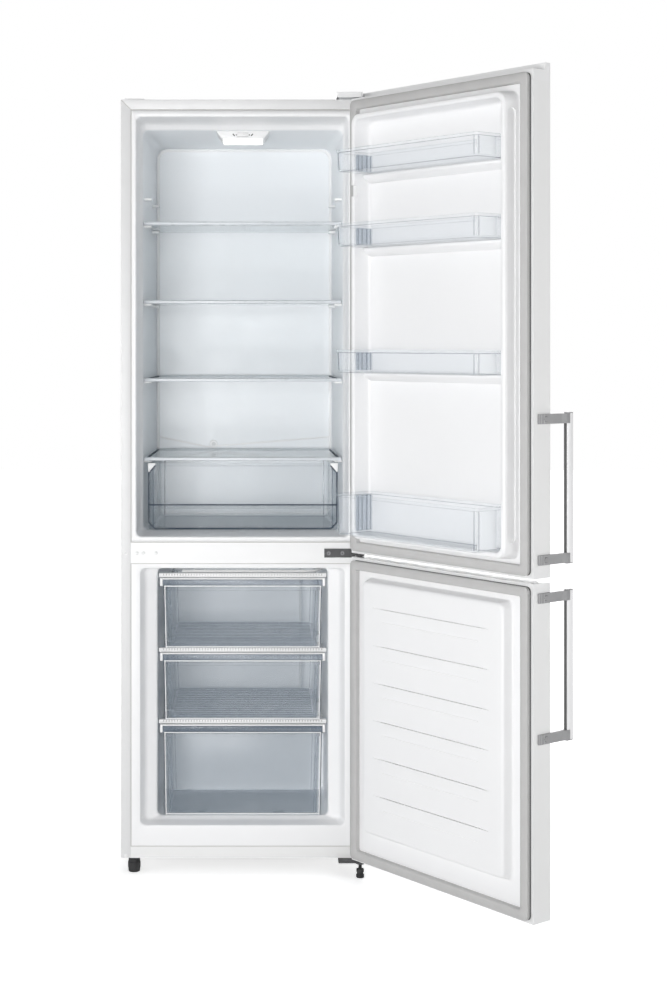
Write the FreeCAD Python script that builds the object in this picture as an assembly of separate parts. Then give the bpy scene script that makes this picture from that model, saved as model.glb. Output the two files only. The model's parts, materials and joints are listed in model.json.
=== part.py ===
"""Free-standing two-door fridge freezer, both doors standing open.

Millimetres. Pieces are drawn with X = 0 in the middle of the cabinet, Y = 0 on its front frame (the doors are
on the -Y side) and Z = 0 on the floor. Door pieces are drawn shut and then swung open by DOOR_OPEN about the
hinge pins. The finished part has its origin on the floor under the hinge pins, at the front right foot.
"""
import FreeCAD
import Part
import math
import os

V = FreeCAD.Vector
X_AXIS = V(1, 0, 0)
Y_AXIS = V(0, 1, 0)
Z_AXIS = V(0, 0, 1)

# Cabinet
WIDTH = 550.0
CABINET_TOP = 1750.0
CABINET_BASE = 35.0
DEPTH = 475.0
SHEET = 1.0
STRIP = 22.5
RAIL_HEIGHT = 26.0
LINER_WALL = 2.0
MULLION_BOTTOM = 701.0
MULLION_HEIGHT = 47.0
PLAY = 0.3
CUT_MARGIN = 2.0
HALF = WIDTH / 2
FLANGE_HALF = HALF - STRIP
FLANGE_TOP = CABINET_TOP - STRIP
RAIL_TOP = CABINET_BASE + RAIL_HEIGHT
MULLION_TOP = MULLION_BOTTOM + MULLION_HEIGHT

# Fridge compartment: the mouth narrows at a shoulder behind the front frame
SIDE_WALL = 35.0
TOP_WALL = 39.0
REAR_WALL = 45.0
MOUTH_STEP = 13.5
MOUTH_TAPER = 2.5
SHOULDER_START = 72.0
SHOULDER_END = 88.0
SHOULDER_SIDE = 9.0
SHOULDER_TOP = 21.0
SHOULDER_FLOOR = 4.5
SIDE_NARROWING = 10.0
CEILING_FALL = 3.0
MOUTH_CORNER = 12.0
REAR_CORNER = 25.0
FRIDGE_MOUTH_HALF = HALF - SIDE_WALL
FRIDGE_MOUTH_BOTTOM = MULLION_TOP + MOUTH_STEP
FRIDGE_MOUTH_TOP = CABINET_TOP - TOP_WALL
FRIDGE_HALF = FRIDGE_MOUTH_HALF - SHOULDER_SIDE
FRIDGE_FLOOR = FRIDGE_MOUTH_BOTTOM + SHOULDER_FLOOR
FRIDGE_CEILING = FRIDGE_MOUTH_TOP - SHOULDER_TOP
FRIDGE_REAR_HALF = FRIDGE_HALF - SIDE_NARROWING
FRIDGE_REAR_CEILING = FRIDGE_CEILING - CEILING_FALL
FRIDGE_REAR = DEPTH - REAR_WALL

# Compressor on its rubber mounts, and the drip tray on top of it
COMPRESSOR_R = 72.0
COMPRESSOR_HEIGHT = 125.0
COMPRESSOR_ROUND = 20.0
COMPRESSOR_X = 40.0
COMPRESSOR_REAR_GAP = 11.0
COMPRESSOR_FRONT_GAP = 10.0
MOUNT_R = 12.0
MOUNT_HEIGHT = 16.0
MOUNT_SPREAD = 70.0
FOOT_PLATE = 3.0
SHELF_PLATE = 2.0
DRIP_WALL = 2.0
DRIP_HEIGHT = 22.0
DRIP_MARGIN = 28.0
TRAY_ROOM = 12.0
COMPRESSOR_Y = DEPTH - COMPRESSOR_R - COMPRESSOR_REAR_GAP
NICHE_FRONT = COMPRESSOR_Y - COMPRESSOR_R - COMPRESSOR_FRONT_GAP
COMPRESSOR_BASE = CABINET_BASE + SHELF_PLATE + MOUNT_HEIGHT
COMPRESSOR_TOP = COMPRESSOR_BASE + FOOT_PLATE + COMPRESSOR_HEIGHT
NICHE_TOP = COMPRESSOR_TOP + DRIP_HEIGHT + TRAY_ROOM

# Freezer compartment: a sloped rebate, then the drawer space with a step over the compressor
FREEZER_SIDE_WALL = 44.0
FREEZER_BOTTOM_WALL = 74.0
FREEZER_TOP_WALL = 11.0
FREEZER_REAR_WALL = 50.0
REBATE_DEPTH = 30.0
REBATE_TAPER = 9.0
REBATE_SIDE = 36.5
REBATE_FLOOR = 11.0
REBATE_TOP = 5.0
FREEZER_FRONT = 42.0
FREEZER_NARROWING = 4.5
FREEZER_CORNER = 12.0
HUMP_FOAM = 40.0
FREEZER_MOUTH_HALF = HALF - FREEZER_SIDE_WALL
FREEZER_MOUTH_BOTTOM = CABINET_BASE + FREEZER_BOTTOM_WALL
FREEZER_MOUTH_TOP = MULLION_BOTTOM - FREEZER_TOP_WALL
FREEZER_HALF = FREEZER_MOUTH_HALF - REBATE_SIDE
FREEZER_FLOOR = FREEZER_MOUTH_BOTTOM + REBATE_FLOOR
FREEZER_CEILING = FREEZER_MOUTH_TOP - REBATE_TOP
FREEZER_REAR_HALF = FREEZER_HALF - FREEZER_NARROWING
FREEZER_REAR = DEPTH - FREEZER_REAR_WALL
HUMP_FRONT = NICHE_FRONT - HUMP_FOAM
HUMP_TOP = NICHE_TOP + HUMP_FOAM


def stack(bays, bottom, top):
    """Floor level of each bay in a pile that fills the height from bottom to top."""
    stretch = (top - bottom) / sum(bays.values())
    levels = {}
    level = bottom
    for name, height in bays.items():
        levels[name] = level
        level += height * stretch
    return levels


# Shelves: the bin's height, then the bays above the bin's cover and each shelf
CRISPER_BAY = 161.5
SHELF_BAYS = {"crisper_cover": 183.5, "lower_shelf": 181.0, "middle_shelf": 182.0, "top_shelf": 216.0}
SHELF_LEVELS = stack(SHELF_BAYS, FRIDGE_FLOOR + CRISPER_BAY, FRIDGE_CEILING)
SPARE_RIB_RISE = 63.0
SHELF_SETBACK = 8.0
SHELF_REAR_GAP = 8.0
SHELF_SIDE_GAP = 2.5
GLASS_THICK = 4.0
GLASS_INSET = 8.0
TRIM_DEPTH = 16.0
TRIM_DROP = 1.5
TRIM_RISE = 2.5
REAR_LIP = 12.0
RIB_HEIGHT = 6.0
RIB_WIDTH = 14.0
RIB_SETBACK = 20.0
SPARE_RIB_LEVEL = SHELF_LEVELS["top_shelf"] + SPARE_RIB_RISE
SHELF_FRONT = SHOULDER_END + SHELF_SETBACK
SHELF_REAR = FRIDGE_REAR - SHELF_REAR_GAP
RIB_FRONT = SHELF_FRONT + RIB_SETBACK

# Crisper bin
CRISPER_SIDE_GAP = 10.0
CRISPER_TOP_GAP = 6.5
CRISPER_REAR_GAP = 25.0
CRISPER_WALL = 2.5
CRISPER_CORNER = 14.0
GRIP_RISE = 57.0
GRIP_DEPTH = 6.0
GRIP_THICK = 5.0
CRISPER_HALF = FRIDGE_HALF - CRISPER_SIDE_GAP
CRISPER_REAR_HALF = FRIDGE_REAR_HALF - CRISPER_SIDE_GAP
CRISPER_TOP = SHELF_LEVELS["crisper_cover"] - CRISPER_TOP_GAP
CRISPER_REAR = FRIDGE_REAR - CRISPER_REAR_GAP
GRIP_HEIGHT = FRIDGE_FLOOR + GRIP_RISE

# Tube evaporator shelves above the drawers
DRAWER_BAYS = {"bottom_drawer": 213.0, "middle_drawer": 164.0, "top_drawer": 177.0}
EVAPORATOR_CEILING_GAP = 11.0
EVAPORATOR_TOP = FREEZER_CEILING - EVAPORATOR_CEILING_GAP
BAY_FLOORS = stack(DRAWER_BAYS, FREEZER_FLOOR, EVAPORATOR_TOP)
EVAPORATOR_LEVELS = {
    "top_drawer": EVAPORATOR_TOP,
    "middle_drawer": BAY_FLOORS["top_drawer"],
    "bottom_drawer": BAY_FLOORS["middle_drawer"],
}
TUBE_R = 3.5
WIRE_R = 0.9
WIRE_SINK = 0.4
WIRE_COUNT = 12
EVAPORATOR_SIDE_GAP = 6.0
EVAPORATOR_SETBACK = 28.0
EVAPORATOR_REAR_GAP = 27.0
EVAPORATOR_RUNS = 5
RISER_INSET = 44.0
EVAPORATOR_RIB = 9.0
EVAPORATOR_HALF = FREEZER_REAR_HALF - EVAPORATOR_SIDE_GAP
EVAPORATOR_FRONT = FREEZER_FRONT + EVAPORATOR_SETBACK
EVAPORATOR_REAR = FREEZER_REAR - EVAPORATOR_REAR_GAP
EVAPORATOR_PITCH = (EVAPORATOR_REAR - EVAPORATOR_FRONT) / (EVAPORATOR_RUNS - 1)
RISER_X = EVAPORATOR_HALF - RISER_INSET

# Freezer drawers, each below the evaporator shelf of its own name
DRAWER_TOP_GAPS = {"top_drawer": 13.0, "middle_drawer": 7.0, "bottom_drawer": 7.0}
DRAWER_SIDE_GAP = 5.5
DRAWER_SETBACK = 4.0
TRAY_INSET = 12.0
PANEL_THICK = 14.0
TRAY_WALL = 2.5
TRAY_REAR_GAP = 37.0
HUMP_GAP = 8.0
TRAY_DROP_TOP = 22.0
TRAY_CORNER = 10.0
TRAY_SIDE_DRAFT = 6.0
DRAWER_HALF = FREEZER_HALF - DRAWER_SIDE_GAP
TRAY_HALF = DRAWER_HALF - TRAY_INSET
DRAWER_FRONT = FREEZER_FRONT + DRAWER_SETBACK
TRAY_REAR = FREEZER_REAR - TRAY_REAR_GAP
BOTTOM_TRAY_REAR = HUMP_FRONT - HUMP_GAP

# Doors, drawn shut
DOOR_OPEN = 128.0
HINGE_INSET = 10.5
HINGE_FORWARD = 28.0
GASKET_DEPTH = 12.0
GASKET_CLEAR = 0.5
GASKET_INSET = 6.5
GASKET_WIDTH = 20.0
DOOR_THICK = 52.0
DOOR_SKIN = 0.8
DOOR_RISE = 28.0
DOOR_GAP = 9.0
DOOR_TOP_GAP = 3.0
DOOR_BOTTOM_GAP = 6.0
DOOR_LIP = 15.0
DOOR_LIP_THICK = 18.0
CAP_HEIGHT = 22.0
DOOR_EDGE_R = 5.0
HINGE = V(HALF - HINGE_INSET, -HINGE_FORWARD, 0)
DOOR_INNER = -GASKET_DEPTH
DOOR_OUTER = DOOR_INNER - DOOR_THICK
UPPER_DOOR_BOTTOM = MULLION_BOTTOM + DOOR_RISE
UPPER_DOOR_TOP = CABINET_TOP - DOOR_TOP_GAP
LOWER_DOOR_TOP = UPPER_DOOR_BOTTOM - DOOR_GAP
LOWER_DOOR_BOTTOM = CABINET_BASE + DOOR_BOTTOM_GAP
MULLION_MID = (UPPER_DOOR_BOTTOM + LOWER_DOOR_TOP) / 2

# Upper door liner: a rim stands round a shallow well
RIM_SIDE_GAP = 3.0
RIM_BOTTOM_GAP = 2.5
RIM_TOP_GAP = 3.0
RIM_LEAN = 4.0
RIM_CREST = 27.0
RIM_CREST_WIDTH = 11.0
WELL_DRAFT = 3.0
WELL_SINK = 4.0
WELL_CORNER = 2.0
RIM_CORNER = 22.0
RIM_HALF = FRIDGE_MOUTH_HALF - RIM_SIDE_GAP
RIM_BOTTOM = FRIDGE_MOUTH_BOTTOM + RIM_BOTTOM_GAP
RIM_TOP = FRIDGE_MOUTH_TOP - RIM_TOP_GAP
RIM_CREST_HALF = RIM_HALF - RIM_LEAN
RIM_WIDTH = RIM_LEAN + RIM_CREST_WIDTH + WELL_DRAFT
WELL_FLOOR = DOOR_INNER - WELL_SINK

# Lower door liner: one raised panel with creased bands
PANEL_SIDE_GAP = 12.0
PANEL_BOTTOM_GAP = 8.0
PANEL_TOP_GAP = 10.0
PANEL_CREST = 12.0
PANEL_DRAFT = 5.0
PANEL_CORNER = 14.0
BAND_TOP_GAP = 59.0
BAND_BOTTOM_GAP = 65.0
BAND_SIDE_GAP = 44.0
BAND_COUNT = 6
BAND_HEIGHT = 29.0
BAND_DEPTH = 5.0
PANEL_HALF = FREEZER_MOUTH_HALF - PANEL_SIDE_GAP
PANEL_BOTTOM = FREEZER_MOUTH_BOTTOM + PANEL_BOTTOM_GAP
PANEL_TOP = FREEZER_MOUTH_TOP - PANEL_TOP_GAP
BAND_HALF = PANEL_HALF - BAND_SIDE_GAP
BAND_TOP = PANEL_TOP - BAND_TOP_GAP
BAND_PITCH = (BAND_TOP - BAND_HEIGHT - PANEL_BOTTOM - BAND_BOTTOM_GAP) / (BAND_COUNT - 1)

# Door balconies: the bottle balcony stands on the rim, the bays above it fill the well
BOTTLE_BALCONY_HEIGHT = 89.7
OVER_BOTTLES = 263.0
BALCONY_BAYS = {"middle_balcony": 275.0, "upper_balcony": 162.0, "top_balcony": 136.0}
BALCONY_HEIGHTS = {"middle_balcony": 50.0, "upper_balcony": 49.0, "top_balcony": 48.0}
BALCONY_SIDE_GAP = 3.0
BALCONY_BACK_GAP = 2.0
BALCONY_CLEAR = 2.0
BALCONY_WALL = 2.5
BALCONY_CORNER = 12.0
BALCONY_DRAFT = 3.0
LEDGE_DEPTH = 18.0
LEDGE_NOSE = 6.0
LEDGE_HEIGHT = 20.0
BOTTLE_BALCONY_BOTTOM = RIM_BOTTOM + RIM_WIDTH + PLAY
BOTTLE_BALCONY_TOP = BOTTLE_BALCONY_BOTTOM + BOTTLE_BALCONY_HEIGHT
BALCONY_LEVELS = stack({"over_bottles": OVER_BOTTLES} | BALCONY_BAYS, BOTTLE_BALCONY_TOP, RIM_TOP)
BALCONY_HALF = RIM_HALF - RIM_WIDTH - BALCONY_SIDE_GAP
BALCONY_BACK = WELL_FLOOR + BALCONY_BACK_GAP
BALCONY_FRONT = SHELF_FRONT - GRIP_DEPTH - BALCONY_CLEAR

# Handles on the free edge of each door
HANDLE_LENGTH = 306.0
UPPER_HANDLE_RISE = 25.0
LOWER_HANDLE_DROP = 18.0
BAR_WIDTH = 10.0
BAR_DEPTH = 20.0
BAR_STANDOFF = 39.0
BAR_OVERHANG = 7.0
BAR_ROUND = 4.0
BRACKET_HEIGHT = 20.0
BRACKET_THICK = 5.0
BRACKET_END = 2.0
BRACKET_REACH = 40.0
UPPER_HANDLE_BOTTOM = UPPER_DOOR_BOTTOM + UPPER_HANDLE_RISE
LOWER_HANDLE_BOTTOM = LOWER_DOOR_TOP - LOWER_HANDLE_DROP - HANDLE_LENGTH

# Hinges
PIN_R = 5.0
PIN_PLAY = 0.05
PIN_LENGTH = 16.0
HINGE_PLATE = 4.0
HINGE_NOSE = 10.0
MIDDLE_PLATE_REACH = 79.5
MIDDLE_PLATE_HEIGHT = 20.0
MIDDLE_PLATE_THICK = 2.5
TOP_HINGE_REACH = 48.5
TOP_HINGE_BACK = 45.0
COVER_WALL = 2.0
COVER_SIDE = 5.0
COVER_HEIGHT = 12.0
COVER_TAIL = 15.0
SCREW_R = 2.2
SCREW_HEAD_R = 4.5
SCREW_HEAD = 2.0
SCREW_LENGTH = 12.0
PLATE_SCREW_EDGE = 10.0
PLATE_SCREW_PITCH = 31.0
PLUG_OFFSETS = (14.0, 28.0, 57.0)
HOLE_COVER_LEFT = 8.0
HOLE_COVER_WIDTH = 45.0
HOLE_COVER_FRONT = 6.0
HOLE_COVER_DEPTH = 34.0
HOLE_COVER_HEIGHT = 3.0
MIDDLE_PLATE_LEFT = HINGE.x - MIDDLE_PLATE_REACH
TOP_HINGE_LEFT = HINGE.x - TOP_HINGE_REACH
COVER_LEFT = TOP_HINGE_LEFT - COVER_SIDE
COVER_TOP = CABINET_TOP + COVER_HEIGHT
COVER_BACK = TOP_HINGE_BACK + COVER_TAIL

# Control housing under the fridge ceiling
HOUSING_TOP_HALF = 62.0
HOUSING_BOTTOM_HALF = 48.5
HOUSING_DROP = 18.5
HOUSING_SETBACK = 2.0
HOUSING_LENGTH = 110.0
DIAL_R = 26.0
DIAL_HEIGHT = 9.0
DIAL_PROUD = 3.0
DIAL_PLAY = 0.5
DIAL_STUD_R = 3.0
DIFFUSER_HALF = 46.0
DIFFUSER_LENGTH = 96.0
DIFFUSER_THICK = 3.0
HOUSING_FRONT = SHOULDER_END + HOUSING_SETBACK

# Feet and rollers
LEFT_FOOT_INSET = 29.0
LEFT_FOOT_Y = 20.0
LEFT_FOOT_R = 14.5
LEFT_FOOT_GAP = 4.0
RIGHT_FOOT_R = 9.3
RIGHT_FOOT_GAP = 11.0
FOOT_THREAD_R = 4.0
FOOT_PLAY = 0.05
ROLLER_GAP = 1.0
ROLLER_WIDTH = 16.0
ROLLER_INSET = 43.0
ROLLER_REAR_GAP = 27.0
AXLE_R = 4.0
EAR_THICK = 3.0
EAR_R = 9.0
LEFT_FOOT_X = -HALF + LEFT_FOOT_INSET
LEFT_FOOT_PAD = CABINET_BASE - LEFT_FOOT_GAP
RIGHT_FOOT_PAD = CABINET_BASE - HINGE_PLATE - RIGHT_FOOT_GAP
ROLLER_R = (CABINET_BASE - ROLLER_GAP) / 2
ROLLER_X = HALF - ROLLER_INSET
ROLLER_Y = DEPTH - ROLLER_REAR_GAP

# Drain, terminal box, cold plate and condenser
TERMINAL_WIDTH = 46.0
TERMINAL_HEIGHT = 56.0
TERMINAL_DEPTH = 60.0
GLAND_R = 5.0
GLAND_LENGTH = 12.0
GUTTER_LOW_X = -93.0
GUTTER_RISE = 174.0
GUTTER_FALL = 25.0
GUTTER_HEIGHT = 7.0
GUTTER_PROUD = 6.0
DRAIN_OFFSET = 16.0
DRAIN_RISE = 5.0
DRAIN_DROP = 20.0
DRAIN_R = 8.0
DRAIN_WALL = 1.5
DRAIN_REAR_GAP = 29.0
OUTLET_R = 7.0
COLD_PLATE_SIDE_GAP = 41.0
COLD_PLATE_RISE = 244.0
COLD_PLATE_TOP_GAP = 90.0
COLD_PLATE_THICK = 1.5
CONDENSER_SIDE_GAP = 50.0
CONDENSER_RISE = 115.0
CONDENSER_TOP_GAP = 276.0
CONDENSER_RUNS = 14
CONDENSER_TUBE_R = 2.6
CONDENSER_GAP = 22.0
CONDENSER_WIRES = 16
DISCHARGE_RISE = 85.0
DISCHARGE_DROP = 30.0
SPACER_SIZE = 16.0
GUTTER_LOW_Z = FRIDGE_FLOOR + GUTTER_RISE
GUTTER_END_Z = GUTTER_LOW_Z + GUTTER_FALL
DRAIN_X = GUTTER_LOW_X + DRAIN_OFFSET
DRAIN_Y = DEPTH - DRAIN_REAR_GAP
DRAIN_Z = GUTTER_LOW_Z + DRAIN_RISE
COLD_PLATE_HALF = FRIDGE_REAR_HALF - COLD_PLATE_SIDE_GAP
COLD_PLATE_BOTTOM = FRIDGE_FLOOR + COLD_PLATE_RISE
COLD_PLATE_TOP = FRIDGE_CEILING - COLD_PLATE_TOP_GAP
CONDENSER_HALF = HALF - CONDENSER_SIDE_GAP
CONDENSER_BOTTOM = NICHE_TOP + CONDENSER_RISE
CONDENSER_TOP = CABINET_TOP - CONDENSER_TOP_GAP
CONDENSER_PITCH = (CONDENSER_TOP - CONDENSER_BOTTOM) / (CONDENSER_RUNS - 1)
DISCHARGE_HEIGHT = CABINET_BASE + DISCHARGE_RISE


def block(x0, x1, y0, y1, z0, z1):
    return Part.makeBox(x1 - x0, y1 - y0, z1 - z0, V(x0, y0, z0))


def fuse(shapes):
    whole = shapes[0].multiFuse(shapes[1:]) if len(shapes) > 1 else shapes[0]
    return whole.removeSplitter()


def rounded_wire(u0, u1, v0, v1, radius, place):
    """Closed rounded rectangle; place(u, v) gives each point its position."""
    edges = []
    corners = [(u1, v0, -90), (u1, v1, 0), (u0, v1, 90), (u0, v0, 180)]
    ends = []
    for u, v, start in corners:
        centre_u = u - radius if u == u1 else u + radius
        centre_v = v - radius if v == v1 else v + radius
        arc = []
        for angle in (start, start + 45, start + 90):
            turn = math.radians(angle)
            arc.append(place(centre_u + radius * math.cos(turn), centre_v + radius * math.sin(turn)))
        ends.append(arc)
    for index, arc in enumerate(ends):
        edges.append(Part.Arc(*arc).toShape())
        edges.append(Part.LineSegment(arc[2], ends[(index + 1) % len(ends)][0]).toShape())
    return Part.Wire(edges)


def front_wire(half, z0, z1, radius, y):
    """Rounded rectangle facing the front, centred on X = 0."""
    return rounded_wire(-half, half, z0, z1, radius, lambda u, v: V(u, y, v))


def plan_wire(half, y0, y1, radius, z):
    """Rounded rectangle seen from above, centred on X = 0."""
    return rounded_wire(-half, half, y0, y1, radius, lambda u, v: V(u, v, z))


def ruled(wires):
    return Part.makeLoft(wires, True, True)


def cylinder(radius, length, base, direction=Z_AXIS):
    return Part.makeCylinder(radius, length, base, direction)


def ring(half, z0, z1, width, corner, y0, y1):
    """Flat frame lying against the front, width wide."""
    outer = ruled([front_wire(half, z0, z1, corner, y) for y in (y0, y1)])
    inner_half = half - width
    inner_corner = max(corner - width / 2, 1.0)
    inner = ruled([
        front_wire(inner_half, z0 + width, z1 - width, inner_corner, y)
        for y in (y0 - CUT_MARGIN, y1 + CUT_MARGIN)
    ])
    return outer.cut(inner)


def swing(shape):
    """Turn a door piece from shut to its resting, open position."""
    turned = shape.copy()
    turned.rotate(HINGE, Z_AXIS, DOOR_OPEN)
    return turned


NODES = {}


def keep(name, shape):
    """Files a finished piece in the part's own frame."""
    moved = shape.copy()
    moved.translate(-HINGE)
    NODES[name] = moved


# Cabinet compartments
def fridge_space(grow):
    """Inside of the fridge compartment, enlarged all round by grow."""
    sections = [
        (FRIDGE_MOUTH_HALF, FRIDGE_MOUTH_BOTTOM, FRIDGE_MOUTH_TOP, MOUTH_CORNER, 0),
        (FRIDGE_MOUTH_HALF - MOUTH_TAPER, FRIDGE_MOUTH_BOTTOM + MOUTH_TAPER,
         FRIDGE_MOUTH_TOP - MOUTH_TAPER, MOUTH_CORNER, SHOULDER_START),
        (FRIDGE_HALF, FRIDGE_FLOOR, FRIDGE_CEILING, MOUTH_CORNER, SHOULDER_END),
        (FRIDGE_REAR_HALF, FRIDGE_FLOOR, FRIDGE_REAR_CEILING, REAR_CORNER, FRIDGE_REAR + grow),
    ]
    wires = [front_wire(h + grow, b - grow, t + grow, r + grow, y) for h, b, t, r, y in sections]
    return ruled(wires)


def freezer_space(grow):
    """Inside of the freezer compartment, enlarged all round by grow, with the step over the compressor."""
    sections = [
        (FREEZER_MOUTH_HALF, FREEZER_MOUTH_BOTTOM, FREEZER_MOUTH_TOP, 0),
        (FREEZER_MOUTH_HALF - REBATE_TAPER, FREEZER_MOUTH_BOTTOM + REBATE_TAPER / 2,
         FREEZER_MOUTH_TOP - REBATE_TAPER / 4, REBATE_DEPTH),
        (FREEZER_HALF, FREEZER_FLOOR, FREEZER_CEILING, FREEZER_FRONT),
        (FREEZER_REAR_HALF, FREEZER_FLOOR, FREEZER_CEILING, FREEZER_REAR + grow),
    ]
    wires = [front_wire(h + grow, b - grow, t + grow, FREEZER_CORNER + grow, y) for h, b, t, y in sections]
    hump = block(-HALF, HALF, HUMP_FRONT - LINER_WALL + grow, DEPTH, 0, HUMP_TOP + LINER_WALL - grow)
    return ruled(wires).cut(hump)


def mouth_cut(half, bottom, top, corner):
    """Opens a compartment's front through its flange."""
    return ruled([front_wire(half, bottom, top, corner, y) for y in (-CUT_MARGIN, 0)])


def side_wall_half(y):
    """Half width of the fridge compartment behind the shoulder, at depth y."""
    share = (y - SHOULDER_END) / (FRIDGE_REAR - SHOULDER_END)
    return FRIDGE_HALF + (FRIDGE_REAR_HALF - FRIDGE_HALF) * share


def shelf_ribs():
    ribs = []
    for level in list(SHELF_LEVELS.values()) + [SPARE_RIB_LEVEL]:
        for side in (-1, 1):
            inner = side * (FRIDGE_REAR_HALF - RIB_WIDTH)
            outer = side * HALF
            ribs.append(block(min(inner, outer), max(inner, outer), RIB_FRONT, FRIDGE_REAR + LINER_WALL,
                              level - RIB_HEIGHT, level))
    return ribs


def drain_gutter():
    """Two sloping ledges on the rear wall that lead water to the drain."""
    ledges = []
    y_front = FRIDGE_REAR - GUTTER_PROUD
    y_back = FRIDGE_REAR + LINER_WALL
    for end_x in (-FRIDGE_REAR_HALF + REAR_CORNER / 4, FRIDGE_REAR_HALF - REAR_CORNER / 4):
        points = [
            V(GUTTER_LOW_X, y_front, GUTTER_LOW_Z - GUTTER_HEIGHT),
            V(end_x, y_front, GUTTER_END_Z - GUTTER_HEIGHT),
            V(end_x, y_front, GUTTER_END_Z),
            V(GUTTER_LOW_X, y_front, GUTTER_LOW_Z),
        ]
        face = Part.Face(Part.makePolygon(points + points[:1]))
        ledges.append(face.extrude(V(0, y_back - y_front, 0)))
    return ledges


def drain_outlet(radius, lead):
    """Round bar from the fridge's rear wall back to the upright drain; lead starts it further forward."""
    front = GUTTER_PROUD + lead if lead else 0
    return cylinder(radius, DRAIN_Y - FRIDGE_REAR + front, V(DRAIN_X, FRIDGE_REAR - front, DRAIN_Z), Y_AXIS)


def make_liners():
    fridge_outer = fridge_space(LINER_WALL)
    fridge_inner = fridge_space(0)
    flange = block(-FLANGE_HALF, FLANGE_HALF, 0, LINER_WALL, MULLION_TOP, FLANGE_TOP)
    inside = [piece.common(fridge_outer) for piece in shelf_ribs() + drain_gutter()]
    mouth = mouth_cut(FRIDGE_MOUTH_HALF, FRIDGE_MOUTH_BOTTOM, FRIDGE_MOUTH_TOP, MOUTH_CORNER)
    shell = fridge_outer.fuse(flange).cut(fridge_inner).cut(mouth)
    fridge = fuse([shell] + inside).cut(drain_outlet(OUTLET_R, CUT_MARGIN))

    freezer_outer = freezer_space(LINER_WALL)
    freezer_inner = freezer_space(0)
    flange = block(-FLANGE_HALF, FLANGE_HALF, 0, LINER_WALL, RAIL_TOP, MULLION_BOTTOM)
    mouth = mouth_cut(FREEZER_MOUTH_HALF, FREEZER_MOUTH_BOTTOM, FREEZER_MOUTH_TOP, FREEZER_CORNER)
    shell = freezer_outer.fuse(flange).cut(freezer_inner).cut(mouth)
    ribs = []
    for level in EVAPORATOR_LEVELS.values():
        for side in (-1, 1):
            inner = side * (EVAPORATOR_HALF - EVAPORATOR_RIB + TUBE_R)
            top = level - TUBE_R - PLAY
            rib = block(min(inner, side * HALF), max(inner, side * HALF), EVAPORATOR_FRONT - EVAPORATOR_RIB,
                        FREEZER_REAR + LINER_WALL, top - RIB_HEIGHT, top)
            ribs.append(rib.common(freezer_outer))
    freezer = fuse([shell] + ribs)
    return fridge, freezer, fridge_outer, freezer_outer


def make_cabinet():
    fridge, freezer, fridge_outer, freezer_outer = make_liners()
    keep("fridge_liner", fridge)
    keep("freezer_liner", freezer)

    wrap = block(-HALF, HALF, 0, DEPTH, CABINET_BASE, CABINET_TOP)
    wrap = wrap.cut(block(-HALF + SHEET, HALF - SHEET, SHEET, DEPTH + CUT_MARGIN,
                          CABINET_BASE - CUT_MARGIN, CABINET_TOP - SHEET))
    wrap = wrap.cut(block(-FLANGE_HALF, FLANGE_HALF, -CUT_MARGIN, SHEET + CUT_MARGIN,
                          CABINET_BASE - CUT_MARGIN, FLANGE_TOP))
    keep("outer_wrap", wrap.cut(fuse(top_screws())))
    keep("back_panel", block(-HALF + SHEET, HALF - SHEET, DEPTH - SHEET, DEPTH,
                             NICHE_TOP + SHEET, CABINET_TOP - SHEET))
    keep("mullion_cover", block(-FLANGE_HALF, FLANGE_HALF, 0, LINER_WALL, MULLION_BOTTOM, MULLION_TOP)
         .cut(fuse(middle_screws())))
    keep("base_plate", make_base())
    keep("drain_tube", make_drain_tube())
    cold_plate = make_cold_plate()
    keep("fridge_evaporator", cold_plate)

    foam = block(-HALF + SHEET, HALF - SHEET, SHEET, DEPTH - SHEET, CABINET_BASE + SHEET, CABINET_TOP - SHEET)
    niche = block(-HALF, HALF, NICHE_FRONT, DEPTH, CABINET_BASE, NICHE_TOP + SHEET)
    front_flanges = block(-FLANGE_HALF, FLANGE_HALF, 0, LINER_WALL, RAIL_TOP, FLANGE_TOP)
    channel = cylinder(DRAIN_R, DRAIN_Z + DRAIN_R - NICHE_TOP, V(DRAIN_X, DRAIN_Y, NICHE_TOP))
    foam = foam.cut(fuse([fridge_outer, freezer_outer, niche, front_flanges]))
    foam = foam.cut(channel.fuse(drain_outlet(OUTLET_R, 0)))
    keep("cabinet_foam", foam.cut(cold_plate).cut(fuse(middle_screws() + top_screws())))


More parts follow.
